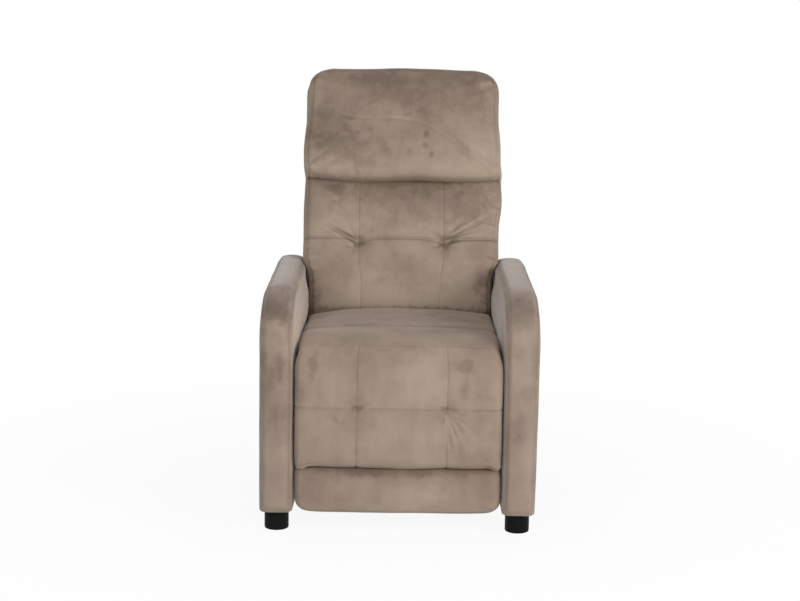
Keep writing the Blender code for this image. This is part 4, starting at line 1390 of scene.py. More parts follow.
@dataclass
class Headrest(BackCover):
    """The plain headrest that bulges over the lumbar cushion."""

    half: float = 0.2440
    low: float = 0.4362
    high: float = 0.7290
    corner: float = 0.056
    rim_hold: float = 0.018
    thick: float = 0.072
    least: float = 0.010
    crown: float = 0.010
    taper: Slope = Slope(0.0085, 0.2, 0.75)
    foot_pull: Swell = Swell(0.003, 0.0, 0.020)
    cheeks: Swell = Swell(0.0015, 0.33, 0.2)
    right_cheek: Swell = Swell(0.005, 0.74, 0.15)
    right_foot: Swell = Swell(0.008, 0.0, 0.030)
    thinning: Slope = Slope(0.026, 0.25, 1.0)
    belly: Swell = Swell(0.006, 0.2, 0.22)
    foot: Rounding = Rounding(0.034, 1.15)
    top: Rounding = Rounding(0.040, 1.5)
    crest: Wave = Wave(0.0022, 15.0, 1.2)
    near_crest: Slope = Slope(1.0, 0.8, 1.0)
    hem_wave: Wave = Wave(0.0030, 21.0, 0.6)
    hem_rise: float = 0.009
    hem_lean: float = 0.008
    hem_reach: float = 0.03
    welt: Groove = Groove(0.0030)
    welt_inset: float = 0.011
    crease: Groove = Groove(0.0009, 0.004)
    crease_height: float = 0.588
    crease_fall: float = 3.3
    crease_power: float = 2.1
    crease_turn: float = -0.02
    crease_start: Slope = Slope(1.0, -0.15, -0.10)
    crease_end: Slope = Slope(1.0, 0.11, 0.18)

    def outline(self, across: Values, along: Values) -> Values:
        """Return x with the sides drawn in towards the round upper corners.

        Args:
            across, along: Places on the cover.

        Returns:
            The x of each place.
        """
        share, from_foot = self.share(along), along - self.low
        pull = self.taper.at(share) + self.corner_pull(along)
        pull = pull + self.foot_pull.at(from_foot) - self.cheeks.at(share)
        right = RIGHT_SIDE.at(across / self.half)
        fuller = right * (self.right_cheek.at(share) + self.right_foot.at(from_foot))
        return across * (self.half - pull) / self.half + fuller

    def face(self, across: Values, along: Values) -> Values:
        """Return the face: full at the foot, thinner towards the top.

        Args:
            across, along: Places on the cover.

        Returns:
            The face's points.
        """
        share = self.share(along)
        depth = self.thick - self.crown * (across / self.half) ** 2 - self.thinning.at(share)
        depth = depth + self.belly.at(share)
        depth = depth - rounded(self.from_side(across), self.edge)
        depth = depth - self.foot.drop(along - self.low) - self.top.drop(self.high - along)
        depth = np.maximum(depth, self.back + self.least)
        crest = self.crest.at(across) * self.near_crest.at(share)
        return self.world(self.outline(across, along), along + self.lift(across, along) + crest, depth)

    def lift(self, across: Values, along: Values) -> Values:
        """Return how far the lower edge waves, and rises towards the corners."""
        rise = (self.hem_rise + self.hem_lean * across) * np.abs(across / self.half) ** 3
        return (self.hem_wave.at(across) + rise) * bell(along - self.low, self.hem_reach)

    def lines(self, across: Values, along: Values) -> Values:
        """Return the push of the seam that joins the face to the boxing round it."""
        return self.welt.push(np.minimum(self.from_side(across), self.high - along) - self.welt_inset)

    def relief(self, across: Values, along: Values) -> Values:
        """Return the push of the long soft crease.

        Args:
            across, along: Places on the cover.

        Returns:
            The outward push.
        """
        fall = self.crease_fall * np.clip(across - self.crease_turn, 0.0, None) ** self.crease_power
        span = self.crease_start.at(across) * self.crease_end.before(across)
        return self.crease.push(along - (self.crease_height - fall)) * span


@dataclass
class BackShell(BackCover):
    """The plain fabric back, drawn over the back's frame and sewn to a boxing round it."""

    half: float = 0.2330
    low: float = 0.0305
    high: float = 0.7140
    edge: float = 0.018
    corner: float = 0.048
    step: float = 0.011
    rim_hold: float = 0.018
    frame_hold: float = 0.6
    back: float = -0.0197
    rear: float = -0.0745
    over_arms: Slope = Slope(0.009, 0.335, 0.395)
    welt: Groove = Groove(0.0020, 0.004)
    welt_inset: float = 0.012

    def outline(self, across: Values, along: Values) -> Values:
        """Return x, wider where the back stays clear of the arms, with round upper corners."""
        spread = self.over_arms.at(along) - self.corner_pull(along)
        return across * (self.half + spread) / self.half

    def face(self, across: Values, along: Values) -> Values:
        """Return the face: nearly flat, round at the rim."""
        depth = self.rear + rounded(self.rim(across, along), self.edge)
        return self.world(self.outline(across, along), along, depth)

    def held(self, across: Values, along: Values) -> Values:
        """Return the hold of the rim, and of the frame that the fabric is drawn over."""
        return np.maximum(self.frame_hold, super().held(across, along))

    def lines(self, across: Values, along: Values) -> Values:
        """Return the push of the seam round the rim."""
        return self.welt.push(self.rim(across, along) - self.welt_inset)


@dataclass
class RearPanel(Cover):
    """The fabric-covered panel between the arms at the rear, as large as the solid it stands for."""

    edge: float = 0.008
    step: float = 0.011
    row_step: float = 0.008
    near: Place = field(init=False)
    far: Place = field(init=False)

    def __post_init__(self) -> None:
        """Take the panel's size from the solid."""
        self.near, self.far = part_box(self.stands_for[0])

    def rim(self, across: Values, along: Values) -> Values:
        """Return the distance in from the panel's rim."""
        sides = np.minimum(across - self.near[0], self.far[0] - across)
        return np.minimum(sides, np.minimum(along - self.near[2], self.far[2] - along))

    def columns(self) -> Values:
        """Return the grid places across."""
        return stations(self.near[0], self.far[0], self.step)

    def rows(self) -> Values:
        """Return the grid places along."""
        return stations(self.near[2], self.far[2], self.row_step)

    def face(self, across: Values, along: Values) -> Values:
        """Return the face: flat, round at the rim."""
        y = self.far[1] - rounded(self.rim(across, along), self.edge)
        return np.stack([across, y, along], axis=-1)

    def floor(self, across: Values, along: Values) -> Values:
        """Return the floor: the panel's inner side."""
        return np.stack([across, np.full(across.shape, self.near[1]), along], axis=-1)

    def held(self, across: Values, along: Values) -> Values:
        """Return a full hold: the fabric is glued to its board."""
        return np.ones(across.shape)


@dataclass
class ThinCloth:
    """A taut cloth or strap, laid in the middle of the flat solid that it stands for."""

    node: str
    body: str
    slot: Slot
    rests_on: tuple[str, ...]
    step: float = 0.02
    sag: float = 0.0
    flat: Pair = field(init=False)

    def build(self) -> Piece:
        """Make the cloth from the solid's two longest directions.

        Returns:
            The finished piece.
        """
        solid = frame["nodes"][self.node]
        places = np.array([solid.matrix_world @ point.co for point in solid.data.vertices])
        centre = (places.max(axis=0) + places.min(axis=0)) / 2
        _, _, ways = np.linalg.svd(places - places.mean(axis=0), full_matrices=False)
        reaches = [np.ptp((places - centre) @ way) for way in ways]
        counts = [max(3, round(reach / self.step)) for reach in reaches[:2]]
        shares = [np.linspace(-0.5, 0.5, count) for count in counts]
        first, second = np.meshgrid(*shares)
        slack = self.sag * np.cos(math.pi * first) * np.cos(math.pi * second)
        points = centre + first[..., None] * reaches[0] * ways[0] + second[..., None] * reaches[1] * ways[1]
        points[..., 2] -= slack
        self.flat = (reaches[1], reaches[0])
        finishes = (HARD_FINISHES[self.slot],)
        return new_piece(f"{self.node}_cloth", points.reshape(-1, 3), grid_faces(*first.shape), finishes)

    def fit(self, piece: Piece) -> None:
        """Let the cloth stand for its solid and ride on its body.

        Args:
            piece: The finished cloth.
        """
        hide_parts(self.node)
        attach(piece, self.body)
        LOG.info("%s: %d points", piece.name, len(piece.data.vertices))


@dataclass
class ChaiseCover(Cover):
    """The one-piece cover of the seat, its front roll and the footrest pad, laid out from the rear."""

    line: tuple[Pair, ...] = (
        (0.092, 0.345), (0.100, 0.375), (0.107, 0.402), (0.1090, 0.4170), (0.104, 0.4270), (0.091, 0.4325),
        (0.060, 0.4350), (0.000, 0.4370), (-0.080, 0.4388), (-0.140, 0.4402), (-0.182, 0.4408),
        (-0.205, 0.4388), (-0.228, 0.4416), (-0.265, 0.4432), (-0.302, 0.4434), (-0.332, 0.4410),
        (-0.360, 0.4300), (-0.379, 0.4110), (-0.388, 0.3860), (-0.3905, 0.3500), (-0.3910, 0.3000),
        (-0.3905, 0.2500), (-0.3905, 0.2050), (-0.3885, 0.1760), (-0.3810, 0.1570), (-0.3660, 0.1475),
        (-0.3480, 0.1460))
    knot_steps: int = 24
    normal_reach: float = 0.004
    front_seam_point: Pair = (-0.360, 0.430)
    tuft_row_point: Pair = (-0.391, 0.289)
    dip_point: Pair = (-0.205, 0.4388)
    half: float = 0.2320
    shift: float = 0.0005
    rim_hold: float = 0.020
    upright: tuple[float, ...] = (-0.0935, 0.1075)
    full_width: float = 1.002
    narrow_seat: Slope = Slope(0.026, -0.01, 0.06)
    pinch: Swell = Swell(0.016, 0.0, 0.022)
    seam_pinch: Swell = Swell(0.006, 0.0, 0.035)
    side_fall: float = 0.005
    seat_arch: Slope = Slope(0.013, -0.22, 0.02)
    right_fullness: float = 0.6
    panel_depth: float = 0.0026
    panel_start: Slope = Slope(1.0, 0.0, 0.03)
    corner_sag: Slope = Slope(0.014, 0.86, 1.0)
    sag_end: Slope = Slope(1.0, -0.10, -0.03)
    floor_height: float = 0.3285
    floor_front: float = -0.3386
    floor_turn: Slope = Slope(1.0, -0.05, 0.03)
    floor_share: float = 0.995
    front_groove: Groove = Groove(0.0018, 0.0018)
    row_groove: Groove = Groove(0.0022, 0.0018)
    upright_groove: Groove = Groove(0.0017, 0.0014)
    groove_start: Slope = Slope(1.0, -0.003, 0.003)
    dip_groove: Groove = Groove(0.0008, 0.006)
    pit: Pit = Pit(0.008, 0.011)
    row_hold: float = 0.85
    hold_start: Slope = Slope(1.0, -0.01, 0.01)
    path: Values = field(init=False)
    run: Values = field(init=False)
    front_seam: float = field(init=False)
    dip: float = field(init=False)

    def __post_init__(self) -> None:
        """Work out the smooth path that the cover follows and the places of its sewn lines."""
        self.path = self.smooth_line(np.array(self.line))
        steps = np.linalg.norm(np.diff(self.path, axis=0), axis=1)
        self.run = np.concatenate([[0.0], np.cumsum(steps)])
        self.high = float(self.run[-1])
        self.front_seam = self.place_of(self.front_seam_point)
        self.tuft_row = self.place_of(self.tuft_row_point)
        self.dip = self.place_of(self.dip_point)
        self.level = (self.front_seam, self.tuft_row)
        self.wrinkles = chaise_wrinkles(self.upright, self.tuft_row, self.high)
        self.marks = chaise_marks(self.front_seam, self.dip)

    def smooth_line(self, knots: Values) -> Values:
        """Return a close-set smooth line through knots.

        Args:
            knots: Points of the line.

        Returns:
            Points about 1 mm apart.
        """
        padded = np.concatenate([2 * knots[:1] - knots[1:2], knots, 2 * knots[-1:] - knots[-2:-1]])
        points = []
        for a, b, c, d in zip(padded, padded[1:], padded[2:], padded[3:]):
            for share in np.linspace(0.0, 1.0, self.knot_steps, endpoint=False):
                points.append(0.5 * (2 * b + (c - a) * share + (2 * a - 5 * b + 4 * c - d) * share ** 2
                                     + (3 * b - a - 3 * c + d) * share ** 3))
        points.append(knots[-1])
        return np.array(points)

    def place_of(self, point: Pair) -> float:
        """Return how far along the path a (y, z) point lies."""
        return float(self.run[np.argmin(np.linalg.norm(self.path - np.array(point), axis=1))])

    def on_path(self, along: Values) -> tuple[Values, Values]:
        """Return the y and z of the path at distances along it."""
        return tuple(np.interp(along, self.run, self.path[:, axis]) for axis in (0, 1))

    def at(self, along: Values) -> tuple[Values, Values, Values, Values]:
        """Return the path's points and normals.

        Args:
            along: Distances along the path.

        Returns:
            y, z, and the y and z of the outward normal.
        """
        y, z = self.on_path(along)
        ahead, behind = self.on_path(along + self.normal_reach), self.on_path(along - self.normal_reach)
        run_y, run_z = ahead[0] - behind[0], ahead[1] - behind[1]
        length = np.hypot(run_y, run_z)
        return y, z, run_z / length, -run_y / length

    def width_at(self, along: Values) -> Values:
        """Return the share of the full half width, drawn in where seat and front roll meet.

        Args:
            along: Distances along the path.

        Returns:
            The share at each distance.
        """
        narrow = self.narrow_seat.before(along, self.front_seam)
        pinch = self.pinch.at(along - self.dip) + self.seam_pinch.at(along - self.front_seam)
        return self.full_width - narrow - pinch

    def face(self, across: Values, along: Values) -> Values:
        """Return the face: an arched seat top, a round front and a padded panel.

        Args:
            across, along: Places on the cover.

        Returns:
            The face's points.
        """
        y, z, out_y, out_z = self.at(along)
        share = np.abs(across) / self.half
        fuller = 1 - self.right_fullness * np.clip(across / self.half, 0.0, 1.0)
        drop = self.side_fall * share ** 2.2 + self.seat_arch.before(along, self.dip) * fuller * share ** 3
        drop = drop + rounded(self.from_side(across), self.edge)
        panels = quilted(across, (-self.half - 0.02, *self.upright, self.half + 0.02))
        rows = quilted(along, (self.front_seam - 0.02, self.tuft_row, self.high + 0.02))
        padding = self.panel_depth * (1 - panels) + self.panel_depth * (1 - rows)
        drop = drop + self.panel_start.at(along, self.front_seam) * padding
        x = self.shift + across * self.width_at(along)
        sag = self.corner_sag.at(share) * self.sag_end.at(along, self.high)
        return np.stack([x, y - out_y * drop, z - out_z * drop - sag], axis=-1)

    def floor(self, across: Values, along: Values) -> Values:
        """Return the floor: level over the seat frame, then down along the footrest's board.

        Args:
            across: Rim places across the cover.
            along: Rim places along the cover.

        Returns:
            The floor's points.
        """
        y, z, _, _ = self.at(along)
        turned = self.floor_turn.at(along, self.front_seam) > 0.5
        floor_y = np.maximum(y, self.floor_front)
        floor_y = np.where(turned, np.minimum(floor_y, self.floor_front), floor_y)
        floor_z = np.where(y > self.floor_front, self.floor_height, np.minimum(z, self.floor_height))
        inner = self.shift + across * self.width_at(along) * self.floor_share
        return np.stack([inner, floor_y, floor_z], axis=-1)

    def upright_share(self, along: Values) -> Values:
        """Return where the upright seams run: on the front alone."""
        return self.hold_start.at(along, self.front_seam)

    def lines(self, across: Values, along: Values) -> Values:
        """Return the push of the seams.

        Args:
            across, along: Places on the cover.

        Returns:
            The outward push.
        """
        on_front = self.groove_start.at(along, self.front_seam)
        push = self.front_groove.push(along - self.front_seam) + self.row_groove.push(along - self.tuft_row)
        for line in self.upright:
            push = push + on_front * self.upright_groove.push(across - line)
        return push

    def relief(self, across: Values, along: Values) -> Values:
        """Return the push of the shallow tufts and of the soft line where seat and front roll meet."""
        return super().relief(across, along) + self.dip_groove.push(along - self.dip)

    def hang(self, piece: Piece) -> None:
        """Bake the cover's placement into its mesh; it rides on no body."""
        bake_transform(piece)


def chaise_marks(front: float, dip: float) -> tuple[NapAndShadeMark, ...]:
    """Return the patches of the chaise cover where the pile lies another way.

    Args:
        front: Place of the front seam along the cover.
        dip: Place of the line where seat and front roll meet.

    Returns:
        The marks below the front seam, then those round the dip.
    """
    below = ((-0.190, 0.056, 0.011, 0.034, -0.32, 8.0), (-0.120, 0.046, 0.045, 0.034, -0.12),
             (0.148, 0.050, 0.024, 0.014, -0.30), (0.146, 0.100, 0.011, 0.030, -0.24, 6.0),
             (0.020, 0.060, 0.050, 0.030, 0.06), (-0.096, 0.138, 0.020, 0.014, -0.16),
             (0.098, 0.162, 0.011, 0.020, -0.20, 10.0), (0.110, 0.140, 0.020, 0.012, -0.16),
             (-0.138, 0.176, 0.006, 0.006, -0.24), (-0.124, 0.182, 0.007, 0.004, -0.16),
             (0.214, 0.205, 0.010, 0.034, -0.06), (0.165, 0.215, 0.050, 0.040, 0.12),
             (-0.215, 0.130, 0.010, 0.028, -0.14), (-0.060, 0.215, 0.060, 0.030, 0.05),
             (0.190, 0.120, 0.030, 0.010, -0.10, 25.0))
    around = ((0.0, -0.10, 0.26, 0.085, -0.16), (0.10, 0.05, 0.09, 0.03, -0.08),
              (-0.10, 0.06, 0.07, 0.03, 0.05))
    return nap_and_shade_marks(*((across, front + run, *rest) for across, run, *rest in below),
                       *((across, dip + run, *rest) for across, run, *rest in around))


def chaise_wrinkles(seams: Sequence[float], tufts: float, end: float) -> tuple[Wrinkle, ...]:
    """Return the folds of the chaise cover's front.

    Args:
        seams: The upright seams.
        tufts: Place of the row of tufts along the cover.
        end: The cover's lower end.

    Returns:
        The folds at the tufts, then the tucks at the lower corners.
    """
    left, right = (seams[0], tufts), (seams[1], tufts)
    reaches = (
        (left, (-0.040, 0.010), 0.0036), (left, (0.036, -0.016), 0.0040), (left, (0.030, 0.014), 0.0024),
        (left, (-0.026, -0.018), 0.0028), (right, (0.030, 0.090), 0.0070), (right, (0.058, 0.085), 0.0058),
        (right, (0.012, 0.120), 0.0046), (right, (0.050, 0.012), 0.0044), (right, (-0.040, -0.012), 0.0040),
        (right, (-0.016, 0.040), 0.0032), (right, (0.075, 0.055), 0.0036))
    fold_width, tuck_width, corner = 0.0042, 0.0045, 0.226
    folds = [Wrinkle(start, (start[0] + go[0], start[1] + go[1]), depth, fold_width)
             for start, go, depth in reaches]
    foot = end - 0.030
    for side in (-1, 1):
        for reach, rise, depth in ((0.055, 0.010, 0.0050), (0.040, 0.028, 0.0035), (0.020, 0.040, 0.0028)):
            tip = (side * (corner - reach), foot - rise)
            folds.append(Wrinkle((side * corner, foot), tip, depth, tuck_width))
    return tuple(folds)


@dataclass
class FootrestRoll(Cover):
    """The plain roll under the footrest pad, laid out from the top down: along is minus the height."""

    half: float = 0.2315
    low: float = -0.1520
    high: float = -0.0435
    corner: float = 0.034
    front: float = -0.3850
    rear: float = -0.3386
    least: float = 0.010
    shift: float = 0.0005
    foot: Rounding = Rounding(0.030)
    top: Rounding = Rounding(0.028, 1.2)
    side_fall: float = 0.006

    def outline(self, across: Values, along: Values) -> Values:
        """Return x with round lower corners."""
        return self.shift + across * (self.half - self.corner_pull(along)) / self.half

    def face(self, across: Values, along: Values) -> Values:
        """Return the face: a shallow roll, round at the rim.

        Args:
            across, along: Places on the cover.

        Returns:
            The face's points.
        """
        drop = rounded(self.from_side(across), self.edge) + self.foot.drop(self.high - along)
        drop = drop + self.top.drop(along - self.low) + self.side_fall * (across / self.half) ** 4
        y = np.minimum(self.front + drop, self.rear - self.least)
        return np.stack([self.outline(across, along), y, -along], axis=-1)

    def floor(self, across: Values, along: Values) -> Values:
        """Return the floor against the footrest's board."""
        return np.stack([self.outline(across, along), np.full(across.shape, self.rear), -along], axis=-1)


@dataclass
class Arm:
    """An upholstered arm: two side panels and a band sewn between them over the front, top and rear."""

    side: Side
    front: float = -0.383
    rear: float = 0.277
    top: float = 0.532
    low: float = 0.0455
    inner: float = 0.235
    outer: float = 0.310
    nose: float = 0.100
    nose_length: float = 0.175
    heel: float = 0.035
    foot: float = 0.006
    sharpest: float = 0.004
    edge: float = 0.017
    foot_edge: float = 0.25
    corner_points: int = 25
    step: float = 0.008
    seam_rows: tuple[float, ...] = (-0.0100, -0.0058, -0.0028, 0.0, 0.0028)
    stitch_gap: float = 0.0042
    past_stitches: float = 0.0090
    panel_rows: tuple[float, ...] = (0.16, 0.12, 0.08, 0.05, 0.03, 0.015, 0.006)
    band_rows: int = 9
    crown: float = 0.0085
    band: Slope = Slope(1.0, 0.0, 0.012)
    above_hem: Slope = Slope(1.0, 0.004, 0.02)
    groove: Groove = Groove(0.0015, 0.0016)
    padding: Slope = Slope(0.010, 0.012, 0.07)
    above_seat: Slope = Slope(1.0, 0.36, 0.43)
    padding_end: Slope = Slope(1.0, 0.12, 0.18)
    bulge: Slope = Slope(0.001, 0.02, 0.10)
    splay: float = 0.0
    splay_below_top: float = 0.10
    uneven: float = 0.0009
    uneven_waves: float = 12.0
    seed: float = 3.0
    # Painted shade in the seam grooves.
    groove_painted_shade: float = 10.0
    # Painted shade on the up-facing top, strongest near the front.
    top_painted_shade: Slope = Slope(0.30, 0.3, 0.9)
    top_painted_shade_from: float = 0.08
    mark_fade: Slope = Slope(1.0, 0.06, 0.24)
    contrast: float = 0.68
    darker: float = 0.20
    # Painted light on the inner panel; the left arm gets much more of it.
    inner_panel_painted_light: float = 0.12
    panel: Slope = Slope(1.0, 0.004, 0.016)
    stitch_from: float = 0.012
    marks: tuple[NapAndShadeMark, ...] = ()

    def outline(self, inset: float, count: int) -> Values:
        """Return the arm's side outline, drawn in by an inset.

        Args:
            inset: Distance in from the outline.
            count: Number of points.

        Returns:
            Closed (y, z) points, evenly spread, from the lower front corner round the rear.
        """
        front, rear, top = self.front + inset, self.rear - inset, self.top - inset
        low = self.low + self.foot_edge * min(inset, self.edge) + max(inset - self.edge, 0.0)
        foot = (self.foot, self.foot)
        heel = (max(self.heel - inset, self.sharpest),) * 2
        nose = (max(self.nose_length - inset, self.sharpest), max(self.nose - inset, self.sharpest))
        corners = ((front, low, foot, 2), (rear, low, foot, 3), (rear, top, heel, 0), (front, top, nose, 1))
        points = []
        for y, z, (long, high), quarter in corners:
            for turn in np.linspace(quarter, quarter + 1, self.corner_points) * math.pi / 2:
                points.append((y + long * (math.cos(turn) + (1 if y < 0 else -1)),
                               z + high * (math.sin(turn) + (1 if quarter > 1 else -1))))
        points = np.array([*points, points[0]])
        run = np.concatenate([[0.0], np.cumsum(np.linalg.norm(np.diff(points, axis=0), axis=1))])
        places = np.linspace(0.0, run[-1], count, endpoint=False)
        return np.stack([np.interp(places, run, points[:, axis]) for axis in (0, 1)], axis=1)

    def rings(self) -> list[tuple[float, float, float, float]]:
        """Return the rings across the arm, from the inner panel to the outer.

        Returns:
            For each ring its x, its inset, and its distances along the cover from the inner and outer seams.
        """
        half_turn = self.edge * math.pi / 4
        runs = (-half_turn, *self.seam_rows, self.stitch_gap, self.past_stitches, half_turn)
        turns = [math.pi / 4 + run / self.edge for run in runs]
        inner_edge = [(self.edge * (1 - math.cos(turn)), self.edge * (1 - math.sin(turn)), run)
                      for turn, run in zip(turns, runs)]
        panel = [(0.0, self.edge + reach, -reach - half_turn) for reach in self.panel_rows]
        width = self.outer - self.inner
        band = [(x, 0.0, x - self.edge + half_turn)
                for x in np.linspace(self.edge, width - self.edge, self.band_rows)[1:-1]]
        inner = panel + inner_edge
        outer = [(width - x, inset, run) for x, inset, run in reversed(inner)]
        far = 1.0
        return [*((self.inner + x, inset, run, far) for x, inset, run in inner),
                *((self.inner + x, inset, far, far) for x, inset, _ in band),
                *((self.inner + x, inset, far, run) for x, inset, run in outer)]

    def build(self) -> Piece:
        """Make the arm's cover.

        Returns:
            The finished piece.
        """
        count = 2 * round((self.rear - self.front + self.top - self.low) / self.step)
        rings = self.rings()
        places, sewn = [], []
        for x, inset, from_inner, from_outer in rings:
            line = self.outline(inset, count)
            places += [(x * self.side.value, y, z) for y, z in line]
            sewn += [(from_inner, from_outer, number / count) for number in range(count)]
        numbers = np.arange(len(rings) * count).reshape(len(rings), count)
        after = np.roll(numbers, -1, axis=1)
        faces = np.stack([numbers[:-1], after[:-1], after[1:], numbers[1:]], axis=-1).reshape(-1, 4).tolist()
        last = (len(rings) - 1) * count
        for number in range(count // 2 - 1):
            far = count - 1 - number
            strip = [number, far, far - 1, number + 1]
            faces += [strip, [last + corner for corner in reversed(strip)]]
        if self.side is Side.RIGHT:
            faces = [face[::-1] for face in faces]
        piece = new_piece(f"arm_{self.side.word}", places, faces, (ARM_VELVET, THREAD))
        set_layer(piece.data, Layer.SEWN, np.array(sewn))
        refine(piece)
        sewn = read_layer(piece.data, Layer.SEWN)
        across = np.abs(points_of(piece.data)[:, 0])
        grooves = self.press(piece.data, sewn, across)
        self.brush(piece.data, sewn, across, grooves)
        self.stitch(piece, sewn)
        piece.data.attributes.remove(piece.data.attributes[Layer.SEWN.value])
        return piece

    def press(self, mesh: Mesh, sewn: Values, across: Values) -> Values:
        """Press the band's seams, its crown, the padding and a little unevenness into the refined arm.

        Args:
            mesh: The refined arm.
            sewn: Each point's distances from the two seams, and its place round the arm.
            across: Each point's distance from the chair's middle.

        Returns:
            How far the sewn grooves push each point.
        """
        start = points_of(mesh)
        _, y, z = start.T
        upright = self.above_hem.at(z, self.low)
        middle, half = (self.inner + self.outer) / 2, (self.outer - self.inner) / 2
        on_band = self.band.at(sewn[:, 0]) * self.band.at(sewn[:, 1])
        push = self.crown * on_band * (1 - ((across - middle) / half) ** 2) * upright
        grooves = upright * (self.groove.push(sewn[:, 0]) + self.groove.push(sewn[:, 1]))
        beside_seat = self.above_seat.at(z) * self.padding_end.before(y)
        push = push + self.padding.at(-sewn[:, 0]) * beside_seat
        push = push + self.bulge.at(-sewn[:, 1]) * upright
        push = push + grooves + self.uneven * ripple(start, self.uneven_waves, self.seed)
        moved = start + normals_of(mesh) * push[:, None]
        outward = smoothstep(self.inner, self.outer, across)
        outward = outward * smoothstep(self.low, self.top - self.splay_below_top, z)
        moved[:, 0] += self.side.value * self.splay * outward
        set_points(mesh, moved)
        return grooves

    def brush(self, mesh: Mesh, sewn: Values, across: Values, grooves: Values) -> None:
        """Store the arm's tone: painted shade in the grooves and on the top near the front, painted light on
        the inner panel, and patches where the pile lies another way.

        Args:
            mesh: The pressed arm.
            sewn: Each point's distances from the two seams, and its place round the arm.
            across: Each point's distance from the chair's middle, before it was pressed.
            grooves: How far the sewn grooves push each point.
        """
        places, upward = points_of(mesh), normals_of(mesh)[:, 2]
        set_layer(mesh, Layer.REST, places)
        _, y, z = places.T
        # Painted shade in the seam grooves.
        tone = self.groove_painted_shade * grooves
        # Painted shade on the up-facing top, strongest near the front and gone at the rear.
        rearward = smoothstep(self.front + self.top_painted_shade_from, self.rear, y)
        tone = tone - self.top_painted_shade.at(upward) * (1 - rearward)
        tone = tone + self.mark_fade.before(y, self.front) * brushed(self.marks, across, z, self.seed)
        # Painted light: the inner panel is lighter, far more on the left arm.
        tone = self.contrast * tone - self.darker + self.inner_panel_painted_light * self.panel.at(-sewn[:, 0])
        set_layer(mesh, Layer.NAP, tone)

    def stitch(self, piece: Piece, sewn: Values) -> None:
        """Sew a row of stitches beside each seam.

        Args:
            piece: The pressed arm.
            sewn: Each point's distances from the two seams, and its place round the arm.
        """
        places, normals = points_of(piece.data), normals_of(piece.data)
        rows = []
        for column in (0, 1):
            near = np.where(np.abs(sewn[:, column] - self.stitch_gap) < ON_LINE)[0]
            order = near[np.argsort(sewn[near, 2])]
            order = order[places[order, 2] > self.low + self.stitch_from]
            rows.append((places[order], normals[order]))
        sew(piece, rows)

    def fit(self, piece: Piece) -> None:
        """Let the cover stand for its solid and ride on the base.

        Args:
            piece: The finished arm.
        """
        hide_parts(f"arm_cover_{self.side.word}")
        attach(piece, "base")
        LOG.info("%s: %d points", piece.name, len(piece.data.vertices))


# The first three rows are a dark band along the top of the roll, under the pad's overhang: painted shadow and
# darker pile together; the last two are patches where the pile lies another way.
ROLL_NAP_AND_SHADOW = nap_and_shade_marks(
    (0.0, -0.146, 0.20, 0.012, -0.26), (-0.090, -0.140, 0.045, 0.010, -0.22),
    (0.050, -0.140, 0.030, 0.010, -0.16), (0.060, -0.095, 0.10, 0.016, 0.06),
    (-0.160, -0.070, 0.06, 0.02, -0.06))
LEFT_ARM_MARKS = nap_and_shade_marks(
    (0.275, 0.506, 0.046, 0.040, -0.38), (0.264, 0.388, 0.014, 0.034, -0.32),
    (0.290, 0.350, 0.014, 0.036, -0.26), (0.270, 0.250, 0.026, 0.060, -0.20),
    (0.300, 0.405, 0.010, 0.030, -0.24), (0.275, 0.445, 0.030, 0.016, -0.20),
    (0.280, 0.150, 0.020, 0.040, -0.10))
RIGHT_ARM_MARKS = nap_and_shade_marks(
    (0.284, 0.502, 0.034, 0.032, -0.16), (0.298, 0.400, 0.010, 0.045, -0.30),
    (0.266, 0.420, 0.014, 0.020, -0.14), (0.265, 0.250, 0.016, 0.050, -0.16),
    (0.290, 0.330, 0.014, 0.026, -0.14))


@dataclass(frozen=True)
class Lamp:
    """A soft square lamp: where it hangs, what it faces, its side length and its watts."""

    name: str
    place: Place
    aim: Place
    size: float
    power: float

    def hang(self) -> None:
        """Add the lamp to the scene."""
        data = bpy.data.lights.new(self.name, "AREA")
        data.size = self.size
        data.energy = self.power
        lamp = bpy.data.objects.new(self.name, data)
        lamp.location = self.place
        lamp.rotation_mode = "QUATERNION"
        lamp.rotation_quaternion = (Vector(self.aim) - Vector(self.place)).to_track_quat("-Z", "Y")
        bpy.context.scene.collection.objects.link(lamp)


